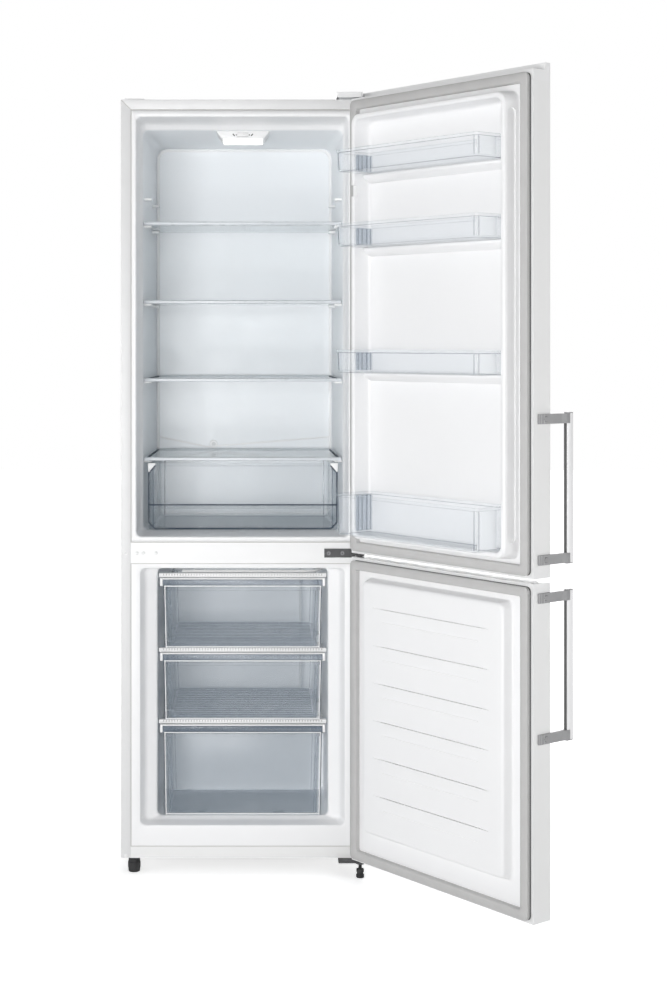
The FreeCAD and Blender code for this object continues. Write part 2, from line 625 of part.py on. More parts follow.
def make_base():
    """Pressed base: front rail, floor, machine-space walls, compressor shelf and roller ears."""
    inner_half = HALF - SHEET
    floor_front = block(-inner_half, inner_half, SHEET, NICHE_FRONT + SHEET,
                        CABINET_BASE, CABINET_BASE + SHEET)
    rail = block(-FLANGE_HALF, FLANGE_HALF, 0, SHEET, CABINET_BASE, RAIL_TOP)
    riser = block(-inner_half, inner_half, NICHE_FRONT, NICHE_FRONT + SHEET, CABINET_BASE, NICHE_TOP + SHEET)
    roof = block(-inner_half, inner_half, NICHE_FRONT, DEPTH, NICHE_TOP, NICHE_TOP + SHEET)
    shelf = block(-inner_half, inner_half, NICHE_FRONT, DEPTH, CABINET_BASE, CABINET_BASE + SHELF_PLATE)
    pieces = [floor_front, rail, riser, roof, shelf]
    for side in (-1, 1):
        flange_x = min(side * inner_half, side * (inner_half - SHEET))
        pieces.append(block(flange_x, flange_x + SHEET, NICHE_FRONT, DEPTH, CABINET_BASE, NICHE_TOP + SHEET))
        for face in (-1, 1):
            start = side * ROLLER_X + face * (ROLLER_WIDTH / 2 + PLAY) - (EAR_THICK if face < 0 else 0)
            ear = block(start, start + EAR_THICK, ROLLER_Y - EAR_R, ROLLER_Y + EAR_R, ROLLER_R,
                        CABINET_BASE + SHEET)
            tip = cylinder(EAR_R, EAR_THICK, V(start, ROLLER_Y, ROLLER_R), X_AXIS)
            pieces += [ear, tip]
        half_axle = ROLLER_WIDTH / 2 + PLAY + EAR_THICK
        axle_end = V(side * ROLLER_X - half_axle, ROLLER_Y, ROLLER_R)
        pieces.append(cylinder(AXLE_R, 2 * half_axle, axle_end, X_AXIS))
    base = fuse(pieces)
    foot_bore = cylinder(FOOT_THREAD_R + FOOT_PLAY, SHEET + 2 * CUT_MARGIN,
                         V(LEFT_FOOT_X, LEFT_FOOT_Y, CABINET_BASE - CUT_MARGIN))
    drain_hole = cylinder(DRAIN_R, SHEET + 2 * CUT_MARGIN, V(DRAIN_X, DRAIN_Y, NICHE_TOP - CUT_MARGIN))
    return base.cut(foot_bore).cut(drain_hole)


def make_drain_tube():
    """Elbowed tube from the gutter down into the machine space."""
    bottom = NICHE_TOP - DRAIN_DROP
    upright = cylinder(DRAIN_R, DRAIN_Z + DRAIN_R - bottom, V(DRAIN_X, DRAIN_Y, bottom))
    bore_r = DRAIN_R - DRAIN_WALL
    bore_top = DRAIN_Z + DRAIN_R - DRAIN_WALL
    bore = cylinder(bore_r, bore_top - bottom + CUT_MARGIN, V(DRAIN_X, DRAIN_Y, bottom - CUT_MARGIN))
    mouth = drain_outlet(OUTLET_R - DRAIN_WALL, CUT_MARGIN)
    return fuse([upright, drain_outlet(OUTLET_R, 0)]).cut(bore).cut(mouth)


def make_cold_plate():
    back = FRIDGE_REAR + LINER_WALL
    return block(-COLD_PLATE_HALF, COLD_PLATE_HALF, back, back + COLD_PLATE_THICK,
                 COLD_PLATE_BOTTOM, COLD_PLATE_TOP)


# Hinges
def screw(base, direction):
    """Screw whose head sits on base and whose shank runs along direction."""
    head = cylinder(SCREW_HEAD_R, SCREW_HEAD, base, -direction)
    shank = cylinder(SCREW_R, SCREW_LENGTH, base, direction)
    return head.fuse(shank)


def middle_screws():
    first = MIDDLE_PLATE_LEFT + PLATE_SCREW_EDGE
    return [screw(V(x, -MIDDLE_PLATE_THICK, MULLION_MID), Y_AXIS) for x in (first, first + PLATE_SCREW_PITCH)]


def top_screws():
    left = TOP_HINGE_LEFT + PLATE_SCREW_EDGE
    front = TOP_HINGE_BACK - PLATE_SCREW_PITCH
    back = TOP_HINGE_BACK - PLATE_SCREW_EDGE
    spots = ((left, front), (left + PLATE_SCREW_PITCH, front), (left + PLATE_SCREW_PITCH / 2, back))
    return [screw(V(x, y, CABINET_TOP + HINGE_PLATE), -Z_AXIS) for x, y in spots]


def hinge_arm(left, back, bottom):
    """Flat plate with a round nose on the hinge axis."""
    nose = cylinder(HINGE_NOSE, HINGE_PLATE, V(HINGE.x, HINGE.y, bottom))
    plate = block(left, HINGE.x, HINGE.y, back, bottom, bottom + HINGE_PLATE)
    return fuse([plate, nose])


def pin(bottom, length):
    return cylinder(PIN_R, length, V(HINGE.x, HINGE.y, bottom))


def make_hinges():
    top_plate = hinge_arm(TOP_HINGE_LEFT, TOP_HINGE_BACK, CABINET_TOP)
    top = fuse([top_plate, pin(CABINET_TOP - PIN_LENGTH, PIN_LENGTH)]).cut(fuse(top_screws()))
    keep("top_hinge", top)

    arm_bottom = MULLION_MID - HINGE_PLATE / 2
    arm_left = HINGE.x - 2 * HINGE_NOSE
    arm = hinge_arm(arm_left, 0, arm_bottom)
    wall = block(MIDDLE_PLATE_LEFT, arm_left + HINGE_NOSE, -MIDDLE_PLATE_THICK, 0,
                 MULLION_MID - MIDDLE_PLATE_HEIGHT / 2, MULLION_MID + MIDDLE_PLATE_HEIGHT / 2)
    up = pin(arm_bottom, HINGE_PLATE + PIN_LENGTH)
    down = pin(arm_bottom - PIN_LENGTH, PIN_LENGTH)
    keep("middle_hinge", fuse([arm, wall, up, down]).cut(fuse(middle_screws())))

    low_bottom = CABINET_BASE - HINGE_PLATE
    low = hinge_arm(TOP_HINGE_LEFT, TOP_HINGE_BACK, low_bottom)
    low_pin = pin(low_bottom, LOWER_DOOR_BOTTOM - low_bottom + PIN_LENGTH)
    bore = cylinder(FOOT_THREAD_R + FOOT_PLAY, HINGE_PLATE + 2 * CUT_MARGIN,
                    V(HINGE.x, HINGE.y, low_bottom - CUT_MARGIN))
    keep("bottom_hinge", fuse([low, low_pin]).cut(bore))
    keep("hinge_screws", Part.makeCompound(middle_screws() + top_screws()))

    clear_door = HINGE.y - HINGE_NOSE - PLAY
    outer = block(COVER_LEFT, HINGE.x + HINGE_NOSE / 2, clear_door, COVER_BACK, CABINET_TOP, COVER_TOP)
    edges = [edge for edge in outer.Edges if abs(edge.tangentAt(0).z) > 0.9]
    outer = outer.makeFillet(HINGE_NOSE / 3, edges)
    inner = block(COVER_LEFT + COVER_WALL, HINGE.x + HINGE_NOSE / 2 - COVER_WALL, clear_door + COVER_WALL,
                  COVER_BACK - COVER_WALL, CABINET_TOP - CUT_MARGIN, COVER_TOP - COVER_WALL)
    keep("top_hinge_cover", outer.cut(fuse([inner, top_plate])))


def make_plugs():
    """Plugs in the spare screw holes on the side away from the hinges."""
    plugs = []
    for offset in PLUG_OFFSETS:
        plugs.append(cylinder(SCREW_HEAD_R, SCREW_HEAD, V(-FLANGE_HALF + offset, 0, MULLION_MID), -Y_AXIS))
    strip_middle = -HALF + STRIP / 2
    for z in (MULLION_MID, CABINET_BASE + SCREW_HEAD_R + PLAY):
        plugs.append(cylinder(SCREW_HEAD_R, SCREW_HEAD, V(strip_middle, 0, z), -Y_AXIS))
    cover_left = -HALF + HOLE_COVER_LEFT
    cover = block(cover_left, cover_left + HOLE_COVER_WIDTH,
                  HOLE_COVER_FRONT, HOLE_COVER_FRONT + HOLE_COVER_DEPTH,
                  CABINET_TOP, CABINET_TOP + HOLE_COVER_HEIGHT)
    keep("hole_plugs", Part.makeCompound(plugs + [cover]))


# Fridge interior
def make_shelf(name, level):
    base = level + PLAY
    front_half = side_wall_half(SHELF_FRONT) - SHELF_SIDE_GAP
    rear_half = side_wall_half(SHELF_REAR) - SHELF_SIDE_GAP

    def slab(inset, y0, y1, z0, z1):
        slope = (rear_half - front_half) / (SHELF_REAR - SHELF_FRONT)
        half0 = front_half + slope * (y0 - SHELF_FRONT) - inset
        half1 = front_half + slope * (y1 - SHELF_FRONT) - inset
        points = [V(-half0, y0, z0), V(half0, y0, z0), V(half1, y1, z0), V(-half1, y1, z0)]
        return Part.Face(Part.makePolygon(points + points[:1])).extrude(V(0, 0, z1 - z0))

    glass = slab(0, SHELF_FRONT + GLASS_INSET, SHELF_REAR - GLASS_INSET, base, base + GLASS_THICK)
    front = slab(0, SHELF_FRONT, SHELF_FRONT + TRIM_DEPTH, base - TRIM_DROP, base + GLASS_THICK + TRIM_RISE)
    rear = slab(0, SHELF_REAR - TRIM_DEPTH, SHELF_REAR, base, base + GLASS_THICK + TRIM_RISE)
    lip = slab(0, SHELF_REAR - TRIM_RISE, SHELF_REAR, base, base + GLASS_THICK + REAR_LIP)
    keep(name + "_glass", glass)
    keep(name + "_trim", Part.makeCompound([front.cut(glass), fuse([rear, lip]).cut(glass)]))


def bin_edges(solid, bottom):
    """The uprights and the bottom edges of a bin."""
    return [edge for edge in solid.Edges
            if abs(edge.tangentAt(0).z) > 0.9 or abs(edge.BoundBox.ZMax - bottom) < 0.01]


def make_crisper():
    bottom = FRIDGE_FLOOR + PLAY
    outline = [V(-CRISPER_HALF, SHELF_FRONT, bottom), V(CRISPER_HALF, SHELF_FRONT, bottom),
               V(CRISPER_REAR_HALF, CRISPER_REAR, bottom), V(-CRISPER_REAR_HALF, CRISPER_REAR, bottom)]
    outer = Part.Face(Part.makePolygon(outline + outline[:1])).extrude(V(0, 0, CRISPER_TOP - bottom))
    outer = outer.makeFillet(CRISPER_CORNER, bin_edges(outer, bottom))
    wall = CRISPER_WALL
    hollow = [V(-CRISPER_HALF + wall, SHELF_FRONT + wall, bottom + wall),
              V(CRISPER_HALF - wall, SHELF_FRONT + wall, bottom + wall),
              V(CRISPER_REAR_HALF - wall, CRISPER_REAR - wall, bottom + wall),
              V(-CRISPER_REAR_HALF + wall, CRISPER_REAR - wall, bottom + wall)]
    inner = Part.Face(Part.makePolygon(hollow + hollow[:1])).extrude(V(0, 0, CRISPER_TOP))
    inner = inner.makeFillet(CRISPER_CORNER - wall, bin_edges(inner, bottom + wall))
    grip_half = CRISPER_HALF - CRISPER_CORNER
    grip = block(-grip_half, grip_half, SHELF_FRONT - GRIP_DEPTH, SHELF_FRONT + wall / 2,
                 GRIP_HEIGHT, GRIP_HEIGHT + GRIP_THICK)
    keep("crisper_bin", fuse([outer.cut(inner), grip]))


def make_controls():
    bottom = FRIDGE_CEILING - HOUSING_DROP
    rear = HOUSING_FRONT + HOUSING_LENGTH
    slope = (FRIDGE_CEILING - FRIDGE_REAR_CEILING) / (FRIDGE_REAR - SHOULDER_END)

    def section(y):
        top = FRIDGE_CEILING - slope * (y - SHOULDER_END)
        points = [V(-HOUSING_BOTTOM_HALF, y, bottom), V(HOUSING_BOTTOM_HALF, y, bottom),
                  V(HOUSING_TOP_HALF, y, top), V(-HOUSING_TOP_HALF, y, top)]
        return Part.makePolygon(points + points[:1])

    housing = ruled([section(HOUSING_FRONT), section(rear)])
    dial_y = HOUSING_FRONT - DIAL_PROUD + DIAL_R
    dial_z = bottom + (HOUSING_DROP - DIAL_HEIGHT) / 2
    pocket = cylinder(DIAL_R + DIAL_PLAY, DIAL_HEIGHT + 2 * DIAL_PLAY, V(0, dial_y, dial_z - DIAL_PLAY))
    stud = cylinder(DIAL_STUD_R, DIAL_HEIGHT + 4 * DIAL_PLAY, V(0, dial_y, dial_z - 2 * DIAL_PLAY))
    keep("control_housing", fuse([housing.cut(pocket), stud]))
    bore = cylinder(DIAL_STUD_R + PIN_PLAY, DIAL_HEIGHT + 2 * CUT_MARGIN, V(0, dial_y, dial_z - CUT_MARGIN))
    keep("thermostat_dial", cylinder(DIAL_R, DIAL_HEIGHT, V(0, dial_y, dial_z)).cut(bore))
    keep("lamp_diffuser", block(-DIFFUSER_HALF, DIFFUSER_HALF, HOUSING_FRONT + CUT_MARGIN,
                                HOUSING_FRONT + DIFFUSER_LENGTH, bottom - DIFFUSER_THICK, bottom))


# Freezer interior
def make_drawers():
    for name, gap in DRAWER_TOP_GAPS.items():
        top = EVAPORATOR_LEVELS[name] - gap
        if name == "bottom_drawer":
            bottom = FREEZER_FLOOR + PLAY
            rear = BOTTOM_TRAY_REAR
        else:
            bottom = BAY_FLOORS[name] + TUBE_R + 2 * WIRE_R - WIRE_SINK + PLAY
            rear = TRAY_REAR
        panel = ruled([plan_wire(DRAWER_HALF - draft, DRAWER_FRONT, DRAWER_FRONT + PANEL_THICK, TRAY_WALL, z)
                       for draft, z in ((TRAY_SIDE_DRAFT, bottom), (0, top))])
        rim = top - TRAY_DROP_TOP
        tray = ruled([plan_wire(TRAY_HALF - draft, DRAWER_FRONT + TRAY_WALL, rear, TRAY_CORNER, z)
                      for draft, z in ((TRAY_SIDE_DRAFT, bottom), (0, rim))])
        inside_half = TRAY_HALF - TRAY_WALL
        inside = ruled([
            plan_wire(inside_half - TRAY_SIDE_DRAFT, DRAWER_FRONT + PANEL_THICK, rear - TRAY_WALL,
                      TRAY_CORNER - TRAY_WALL, bottom + TRAY_WALL),
            plan_wire(inside_half, DRAWER_FRONT + PANEL_THICK, rear - TRAY_WALL, TRAY_CORNER - TRAY_WALL,
                      rim + CUT_MARGIN),
        ])
        keep(name, fuse([panel, tray]).cut(inside))


def serpentine(half, runs, pitch, start, step, tube_r):
    """Tube of straight runs along X joined by half-round bends; start is the first run's middle."""
    bend = pitch / 2
    straight = half - bend - tube_r
    edges = []
    side = 1
    for run in range(runs):
        middle = start + step * (run * pitch)
        begin = middle - X_AXIS * (side * straight)
        end = middle + X_AXIS * (side * straight)
        edges.append(Part.LineSegment(begin, end).toShape())
        if run < runs - 1:
            top = end + X_AXIS * (side * bend) + step * bend
            edges.append(Part.Arc(end, top, end + step * pitch).toShape())
            side = -side
    path = Part.Wire(edges)
    first = edges[0]
    profile = Part.Wire([Part.makeCircle(tube_r, first.valueAt(first.FirstParameter), X_AXIS)])
    return path.makePipeShell([profile], True, False)


def make_evaporator():
    """Three tube-and-wire shelves and the lengths of riser between them."""
    shelves = []
    reach = EVAPORATOR_HALF - EVAPORATOR_PITCH / 2 - 2 * TUBE_R
    for level in EVAPORATOR_LEVELS.values():
        first_run = V(0, EVAPORATOR_FRONT, level)
        pieces = [serpentine(EVAPORATOR_HALF, EVAPORATOR_RUNS, EVAPORATOR_PITCH, first_run, Y_AXIS, TUBE_R)]
        for index in range(WIRE_COUNT):
            x = -reach + 2 * reach * index / (WIRE_COUNT - 1)
            z = level + TUBE_R + WIRE_R - WIRE_SINK
            wire_length = EVAPORATOR_REAR - EVAPORATOR_FRONT + 2 * TUBE_R
            pieces.append(cylinder(WIRE_R, wire_length, V(x, EVAPORATOR_FRONT - TUBE_R, z), Y_AXIS))
        shelves.append(fuse(pieces))
    heights = sorted(EVAPORATOR_LEVELS.values())
    risers = []
    for low, high in zip(heights, heights[1:]):
        riser = cylinder(TUBE_R - WIRE_SINK, high - low, V(RISER_X, EVAPORATOR_REAR, low))
        risers.append(riser.cut(Part.makeCompound(shelves)))
    keep("freezer_evaporator", Part.makeCompound(shelves + risers))


# Machine space and back
def make_machinery():
    shelf_top = CABINET_BASE + SHELF_PLATE
    mounts = []
    for dx in (-MOUNT_SPREAD, MOUNT_SPREAD):
        for dy in (-MOUNT_SPREAD / 2, MOUNT_SPREAD / 2):
            mounts.append(cylinder(MOUNT_R, MOUNT_HEIGHT, V(COMPRESSOR_X + dx, COMPRESSOR_Y + dy, shelf_top)))
    keep("compressor_mounts", Part.makeCompound(mounts))

    foot_x = MOUNT_SPREAD + MOUNT_R
    foot_y = MOUNT_SPREAD / 2 + MOUNT_R
    foot = block(COMPRESSOR_X - foot_x, COMPRESSOR_X + foot_x, COMPRESSOR_Y - foot_y, COMPRESSOR_Y + foot_y,
                 COMPRESSOR_BASE, COMPRESSOR_BASE + FOOT_PLATE)
    can_z = COMPRESSOR_BASE + FOOT_PLATE
    can = cylinder(COMPRESSOR_R, COMPRESSOR_HEIGHT, V(COMPRESSOR_X, COMPRESSOR_Y, can_z))
    crown = [edge for edge in can.Edges if abs(edge.BoundBox.ZMin - COMPRESSOR_TOP) < 0.01]
    can = can.makeFillet(COMPRESSOR_ROUND, crown)
    keep("compressor", fuse([foot, can]))

    left = DRAIN_X - DRIP_MARGIN
    right = COMPRESSOR_X + COMPRESSOR_R
    front = COMPRESSOR_Y - COMPRESSOR_R + COMPRESSOR_ROUND
    back = DRAIN_Y + DRAIN_R + DRIP_WALL + CUT_MARGIN
    tray = block(left, right, front, back, COMPRESSOR_TOP, COMPRESSOR_TOP + DRIP_HEIGHT)
    hollow = block(left + DRIP_WALL, right - DRIP_WALL, front + DRIP_WALL, back - DRIP_WALL,
                   COMPRESSOR_TOP + DRIP_WALL, COMPRESSOR_TOP + DRIP_HEIGHT + CUT_MARGIN)
    keep("drip_tray", tray.cut(hollow))

    box_right = COMPRESSOR_X - COMPRESSOR_R / 2
    box_left = COMPRESSOR_X - COMPRESSOR_R - TERMINAL_WIDTH
    box_back = COMPRESSOR_Y + TERMINAL_DEPTH / 2
    box_z = can_z + FOOT_PLATE
    terminal = block(box_left, box_right, COMPRESSOR_Y - TERMINAL_DEPTH / 2, box_back,
                     box_z, box_z + TERMINAL_HEIGHT)
    gland_x = box_left + TERMINAL_WIDTH / 2
    gland = cylinder(GLAND_R, GLAND_LENGTH, V(gland_x, box_back, box_z + TERMINAL_HEIGHT / 2), Y_AXIS)
    bore = cylinder(GLAND_R / 2, 2 * GLAND_LENGTH, V(gland_x, box_back, box_z + TERMINAL_HEIGHT / 2), Y_AXIS)
    keep("terminal_box", fuse([terminal, gland]).cut(bore).cut(can))
    return can


def pipe_through(points, radius):
    """Straight tubes through the points, with a ball at each bend."""
    pieces = []
    for begin, end in zip(points, points[1:]):
        run = end - begin
        pieces.append(cylinder(radius, run.Length, begin, run))
    for bend in points[1:-1]:
        pieces.append(Part.makeSphere(radius, bend))
    return pieces


def make_condenser(can):
    y = DEPTH + CONDENSER_GAP
    tube = serpentine(CONDENSER_HALF, CONDENSER_RUNS, CONDENSER_PITCH, V(0, y, CONDENSER_BOTTOM), Z_AXIS,
                      CONDENSER_TUBE_R)
    straight = CONDENSER_HALF - CONDENSER_PITCH / 2 - CONDENSER_TUBE_R
    wires = []
    for index in range(CONDENSER_WIRES):
        x = -straight + 2 * straight * index / (CONDENSER_WIRES - 1)
        base = V(x, y + CONDENSER_TUBE_R + WIRE_R - WIRE_SINK, CONDENSER_BOTTOM - 2 * CONDENSER_TUBE_R)
        wires.append(cylinder(WIRE_R, CONDENSER_TOP - CONDENSER_BOTTOM + 4 * CONDENSER_TUBE_R, base))
    inlet = V(-straight, y, CONDENSER_BOTTOM)
    corner = V(-straight, y, CONDENSER_BOTTOM - DISCHARGE_DROP)
    turn = V(COMPRESSOR_X, y, CONDENSER_BOTTOM - DISCHARGE_DROP)
    foot = V(COMPRESSOR_X, y, DISCHARGE_HEIGHT)
    discharge = pipe_through([inlet, corner, turn, foot, V(COMPRESSOR_X, COMPRESSOR_Y, DISCHARGE_HEIGHT)],
                             CONDENSER_TUBE_R)
    joint = Part.makeSphere(CONDENSER_TUBE_R, inlet)
    grid = fuse([tube, joint] + wires + discharge).cut(can)
    spacers = []
    for x in (-straight / 2, straight / 2):
        for z in (CONDENSER_BOTTOM, CONDENSER_TOP):
            spacer = block(x - SPACER_SIZE / 2, x + SPACER_SIZE / 2, DEPTH, y + CONDENSER_TUBE_R / 2,
                           z - SPACER_SIZE / 2, z + SPACER_SIZE / 2)
            spacers.append(spacer.cut(grid))
    keep("condenser", Part.makeCompound([grid] + spacers))


def make_feet():
    for name, x, y, pad_r, pad, seat in (
        ("front_left_foot", LEFT_FOOT_X, LEFT_FOOT_Y, LEFT_FOOT_R, LEFT_FOOT_PAD, CABINET_BASE + SHEET),
        ("front_right_foot", HINGE.x, HINGE.y, RIGHT_FOOT_R, RIGHT_FOOT_PAD, CABINET_BASE),
    ):
        foot = cylinder(pad_r, pad, V(x, y, 0))
        thread = cylinder(FOOT_THREAD_R, seat - pad, V(x, y, pad))
        keep(name, fuse([foot, thread]))
    for name, side in (("rear_left_roller", -1), ("rear_right_roller", 1)):
        start = V(side * ROLLER_X - ROLLER_WIDTH / 2, ROLLER_Y, ROLLER_R)
        wheel = cylinder(ROLLER_R, ROLLER_WIDTH, start, X_AXIS)
        bore_start = start - X_AXIS * CUT_MARGIN
        bore = cylinder(AXLE_R + FOOT_PLAY, ROLLER_WIDTH + 2 * CUT_MARGIN, bore_start, X_AXIS)
        keep(name, wheel.cut(bore))


# Doors
def door_slab(half, outer_y, inner_y, z0, z1, edge_r):
    """Slab with its two front uprights rounded."""
    slab = block(-half, half, outer_y, inner_y, z0, z1)
    uprights = [edge for edge in slab.Edges
                if abs(edge.tangentAt(0).z) > 0.9 and abs(edge.BoundBox.YMin - outer_y) < 0.01]
    return slab.makeFillet(edge_r, uprights)


def liner_slab(z0, z1, sink):
    """The foam space behind a door liner's flat flange, with the flange sunk by sink."""
    return door_slab(HALF - DOOR_SKIN, DOOR_OUTER + DOOR_SKIN, DOOR_INNER - sink,
                     z0 + CAP_HEIGHT, z1 - CAP_HEIGHT, DOOR_EDGE_R - DOOR_SKIN)


def upper_liner_volume(sink):
    """Everything behind the upper liner's surface once that surface is sunk by sink."""
    rim = ruled([
        front_wire(RIM_HALF - sink, RIM_BOTTOM + sink, RIM_TOP - sink, RIM_CORNER - sink, DOOR_INNER - sink),
        front_wire(RIM_CREST_HALF - sink, RIM_BOTTOM + RIM_LEAN + sink, RIM_TOP - RIM_LEAN - sink,
                   RIM_CORNER - sink, RIM_CREST - sink),
    ])
    half = RIM_HALF - RIM_WIDTH + sink
    bottom = RIM_BOTTOM + RIM_WIDTH - sink
    top = RIM_TOP - RIM_WIDTH + sink
    corner = WELL_CORNER + sink
    floor = WELL_FLOOR - sink
    mouth = RIM_CREST + CUT_MARGIN
    flare = WELL_DRAFT * (mouth - floor) / (RIM_CREST - WELL_FLOOR)
    well = ruled([
        front_wire(half, bottom, top, corner, floor),
        front_wire(half + flare, bottom - flare, top + flare, corner, mouth),
    ])
    return liner_slab(UPPER_DOOR_BOTTOM, UPPER_DOOR_TOP, sink).fuse(rim).cut(well)


def lower_liner_volume(sink):
    """Everything behind the lower liner's surface once that surface is sunk by sink."""
    panel = ruled([
        front_wire(PANEL_HALF - sink - draft, PANEL_BOTTOM + sink + draft, PANEL_TOP - sink - draft,
                   PANEL_CORNER - sink, y - sink)
        for draft, y in ((0, DOOR_INNER), (PANEL_DRAFT, PANEL_CREST))
    ])
    volume = liner_slab(LOWER_DOOR_BOTTOM, LOWER_DOOR_TOP, sink).fuse(panel)
    crest = PANEL_CREST - sink
    for index in range(BAND_COUNT):
        top = BAND_TOP - index * BAND_PITCH
        points = [V(-BAND_HALF, crest, top), V(-BAND_HALF, crest - BAND_DEPTH, top),
                  V(-BAND_HALF, crest, top - BAND_HEIGHT)]
        crease = Part.Face(Part.makePolygon(points + points[:1])).extrude(V(2 * BAND_HALF, 0, 0))
        volume = volume.cut(crease)
    return volume


def door_gasket(z0, z1):
    """Magnetic seal: base, narrower bellows and sealing head."""
    base_end = DOOR_INNER + GASKET_DEPTH / 4
    head_start = -GASKET_DEPTH / 3
    neck = GASKET_WIDTH / 6
    layers = ((0, DOOR_INNER, base_end), (neck, base_end, head_start),
              (neck / 4, head_start, -GASKET_CLEAR))
    rings = []
    for inset, y0, y1 in layers:
        edge = GASKET_INSET + inset
        width = GASKET_WIDTH - 2 * inset
        rings.append(ring(HALF - edge, z0 + edge, z1 - edge, width, GASKET_WIDTH / 2, y0, y1))
    return fuse(rings)


def door_cap(z0, z1, bore_bottom):
    """End cap of a door with the bush for its hinge pin."""
    cap = door_slab(HALF, DOOR_OUTER, DOOR_INNER, z0, z1, DOOR_EDGE_R)
    return cap.cut(cylinder(PIN_R + PIN_PLAY, PIN_LENGTH, V(HINGE.x, HINGE.y, bore_bottom)))


def make_handle(prefix, bottom):
    edge = -HALF
    bar_back = DOOR_OUTER - BAR_STANDOFF
    bar = block(edge - BAR_OVERHANG, edge - BAR_OVERHANG + BAR_WIDTH, bar_back - BAR_DEPTH, bar_back,
                bottom, bottom + HANDLE_LENGTH)
    uprights = [side for side in bar.Edges
                if abs(side.tangentAt(0).z) > 0.9 and side.BoundBox.YMin < bar_back - BAR_DEPTH / 2]
    keep(prefix + "_handle_bar", swing(bar.makeFillet(BAR_ROUND, uprights)))
    pieces = []
    for z in (bottom + BRACKET_END, bottom + HANDLE_LENGTH - BRACKET_END - BRACKET_HEIGHT):
        arm = block(edge - BRACKET_THICK, edge, bar_back, DOOR_OUTER + BRACKET_REACH, z, z + BRACKET_HEIGHT)
        plug_seat = V(edge - BRACKET_THICK, DOOR_OUTER + BRACKET_REACH / 2, z + BRACKET_HEIGHT / 2)
        plug = cylinder(BRACKET_HEIGHT / 4, SCREW_HEAD, plug_seat, -X_AXIS)
        pieces += [arm, plug]
    keep(prefix + "_handle_brackets", swing(Part.makeCompound(pieces)))


def make_door(prefix, z0, z1, volume, lip, ledges, handle_bottom):
    shell = door_slab(HALF, DOOR_OUTER, DOOR_INNER, z0 + CAP_HEIGHT, z1 - CAP_HEIGHT, DOOR_EDGE_R)
    hollow = door_slab(HALF - DOOR_SKIN, DOOR_OUTER + DOOR_SKIN, DOOR_INNER + CUT_MARGIN, z0, z1,
                       DOOR_EDGE_R - DOOR_SKIN)
    keep(prefix + "_skin", swing(shell.cut(hollow)))
    foam = volume(LINER_WALL)
    liner = volume(0).cut(foam)
    keep(prefix + "_foam", swing(foam))
    if ledges:
        liner = fuse([liner] + [ledge.cut(foam) for ledge in ledges])
    keep(prefix + "_liner", swing(liner))
    keep(prefix + "_gasket", swing(door_gasket(z0, z1)))
    top_cap = door_cap(z1 - CAP_HEIGHT, z1, z1 - PIN_LENGTH)
    if lip:
        front = door_slab(HALF, DOOR_OUTER, DOOR_OUTER + DOOR_LIP_THICK, z1, z1 + DOOR_LIP, DOOR_EDGE_R)
        top_cap = fuse([top_cap, front])
    keep(prefix + "_top_cap", swing(top_cap))
    keep(prefix + "_bottom_cap", swing(door_cap(z0, z0 + CAP_HEIGHT, z0)))
    make_handle(prefix, handle_bottom)


def balcony_ledges():
    """Wedge-shaped ledges across the door's well that carry the balconies."""
    ledges = []
    half = RIM_CREST_HALF - RIM_CREST_WIDTH / 2
    root = WELL_FLOOR - LINER_WALL / 2
    nose = WELL_FLOOR + LEDGE_DEPTH
    for name in BALCONY_BAYS:
        top = BALCONY_LEVELS[name] - PLAY
        points = [V(-half, root, top), V(-half, nose, top), V(-half, nose, top - LEDGE_NOSE),
                  V(-half, WELL_FLOOR, top - LEDGE_HEIGHT), V(-half, root, top - LEDGE_HEIGHT)]
        ledges.append(Part.Face(Part.makePolygon(points + points[:1])).extrude(V(2 * half, 0, 0)))
    return ledges


def make_balconies():
    wall = BALCONY_WALL
    heights = {"bottle_balcony": (BOTTLE_BALCONY_BOTTOM, BOTTLE_BALCONY_TOP)}
    for name, height in BALCONY_HEIGHTS.items():
        heights[name] = (BALCONY_LEVELS[name], BALCONY_LEVELS[name] + height)
    for name, (bottom, top) in heights.items():
        outer = ruled([plan_wire(BALCONY_HALF - draft, BALCONY_BACK, BALCONY_FRONT - draft, BALCONY_CORNER, z)
                       for draft, z in ((BALCONY_DRAFT, bottom), (0, top))])
        inner = ruled([plan_wire(BALCONY_HALF - wall - draft, BALCONY_BACK + wall,
                                 BALCONY_FRONT - wall - draft, BALCONY_CORNER - wall, z)
                       for draft, z in ((BALCONY_DRAFT, bottom + wall), (0, top + CUT_MARGIN))])
        keep(name, swing(outer.cut(inner)))


def build():
    make_cabinet()
    make_hinges()
    make_plugs()
    for name, level in SHELF_LEVELS.items():
        make_shelf(name, level)
    make_crisper()
    make_controls()
    make_drawers()
    make_evaporator()
    make_condenser(make_machinery())
    make_feet()
    make_door("fridge_door", UPPER_DOOR_BOTTOM, UPPER_DOOR_TOP, upper_liner_volume, True, balcony_ledges(),
              UPPER_HANDLE_BOTTOM)
    make_door("freezer_door", LOWER_DOOR_BOTTOM, LOWER_DOOR_TOP, lower_liner_volume, False, [],
              LOWER_HANDLE_BOTTOM)
    make_balconies()


if __name__ == "__main__":
    os.makedirs("parts", exist_ok=True)
    build()
    for name, shape in NODES.items():
        shape.exportStep(f"parts/{name}.step")
        print(name, len(shape.Solids), shape.isValid(), round(shape.Volume / 1000, 1))
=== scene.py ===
"""Looks of a free-standing fridge freezer whose two doors stand open."""
import json
import math
import bmesh
import bpy
from mathutils import Matrix, Vector


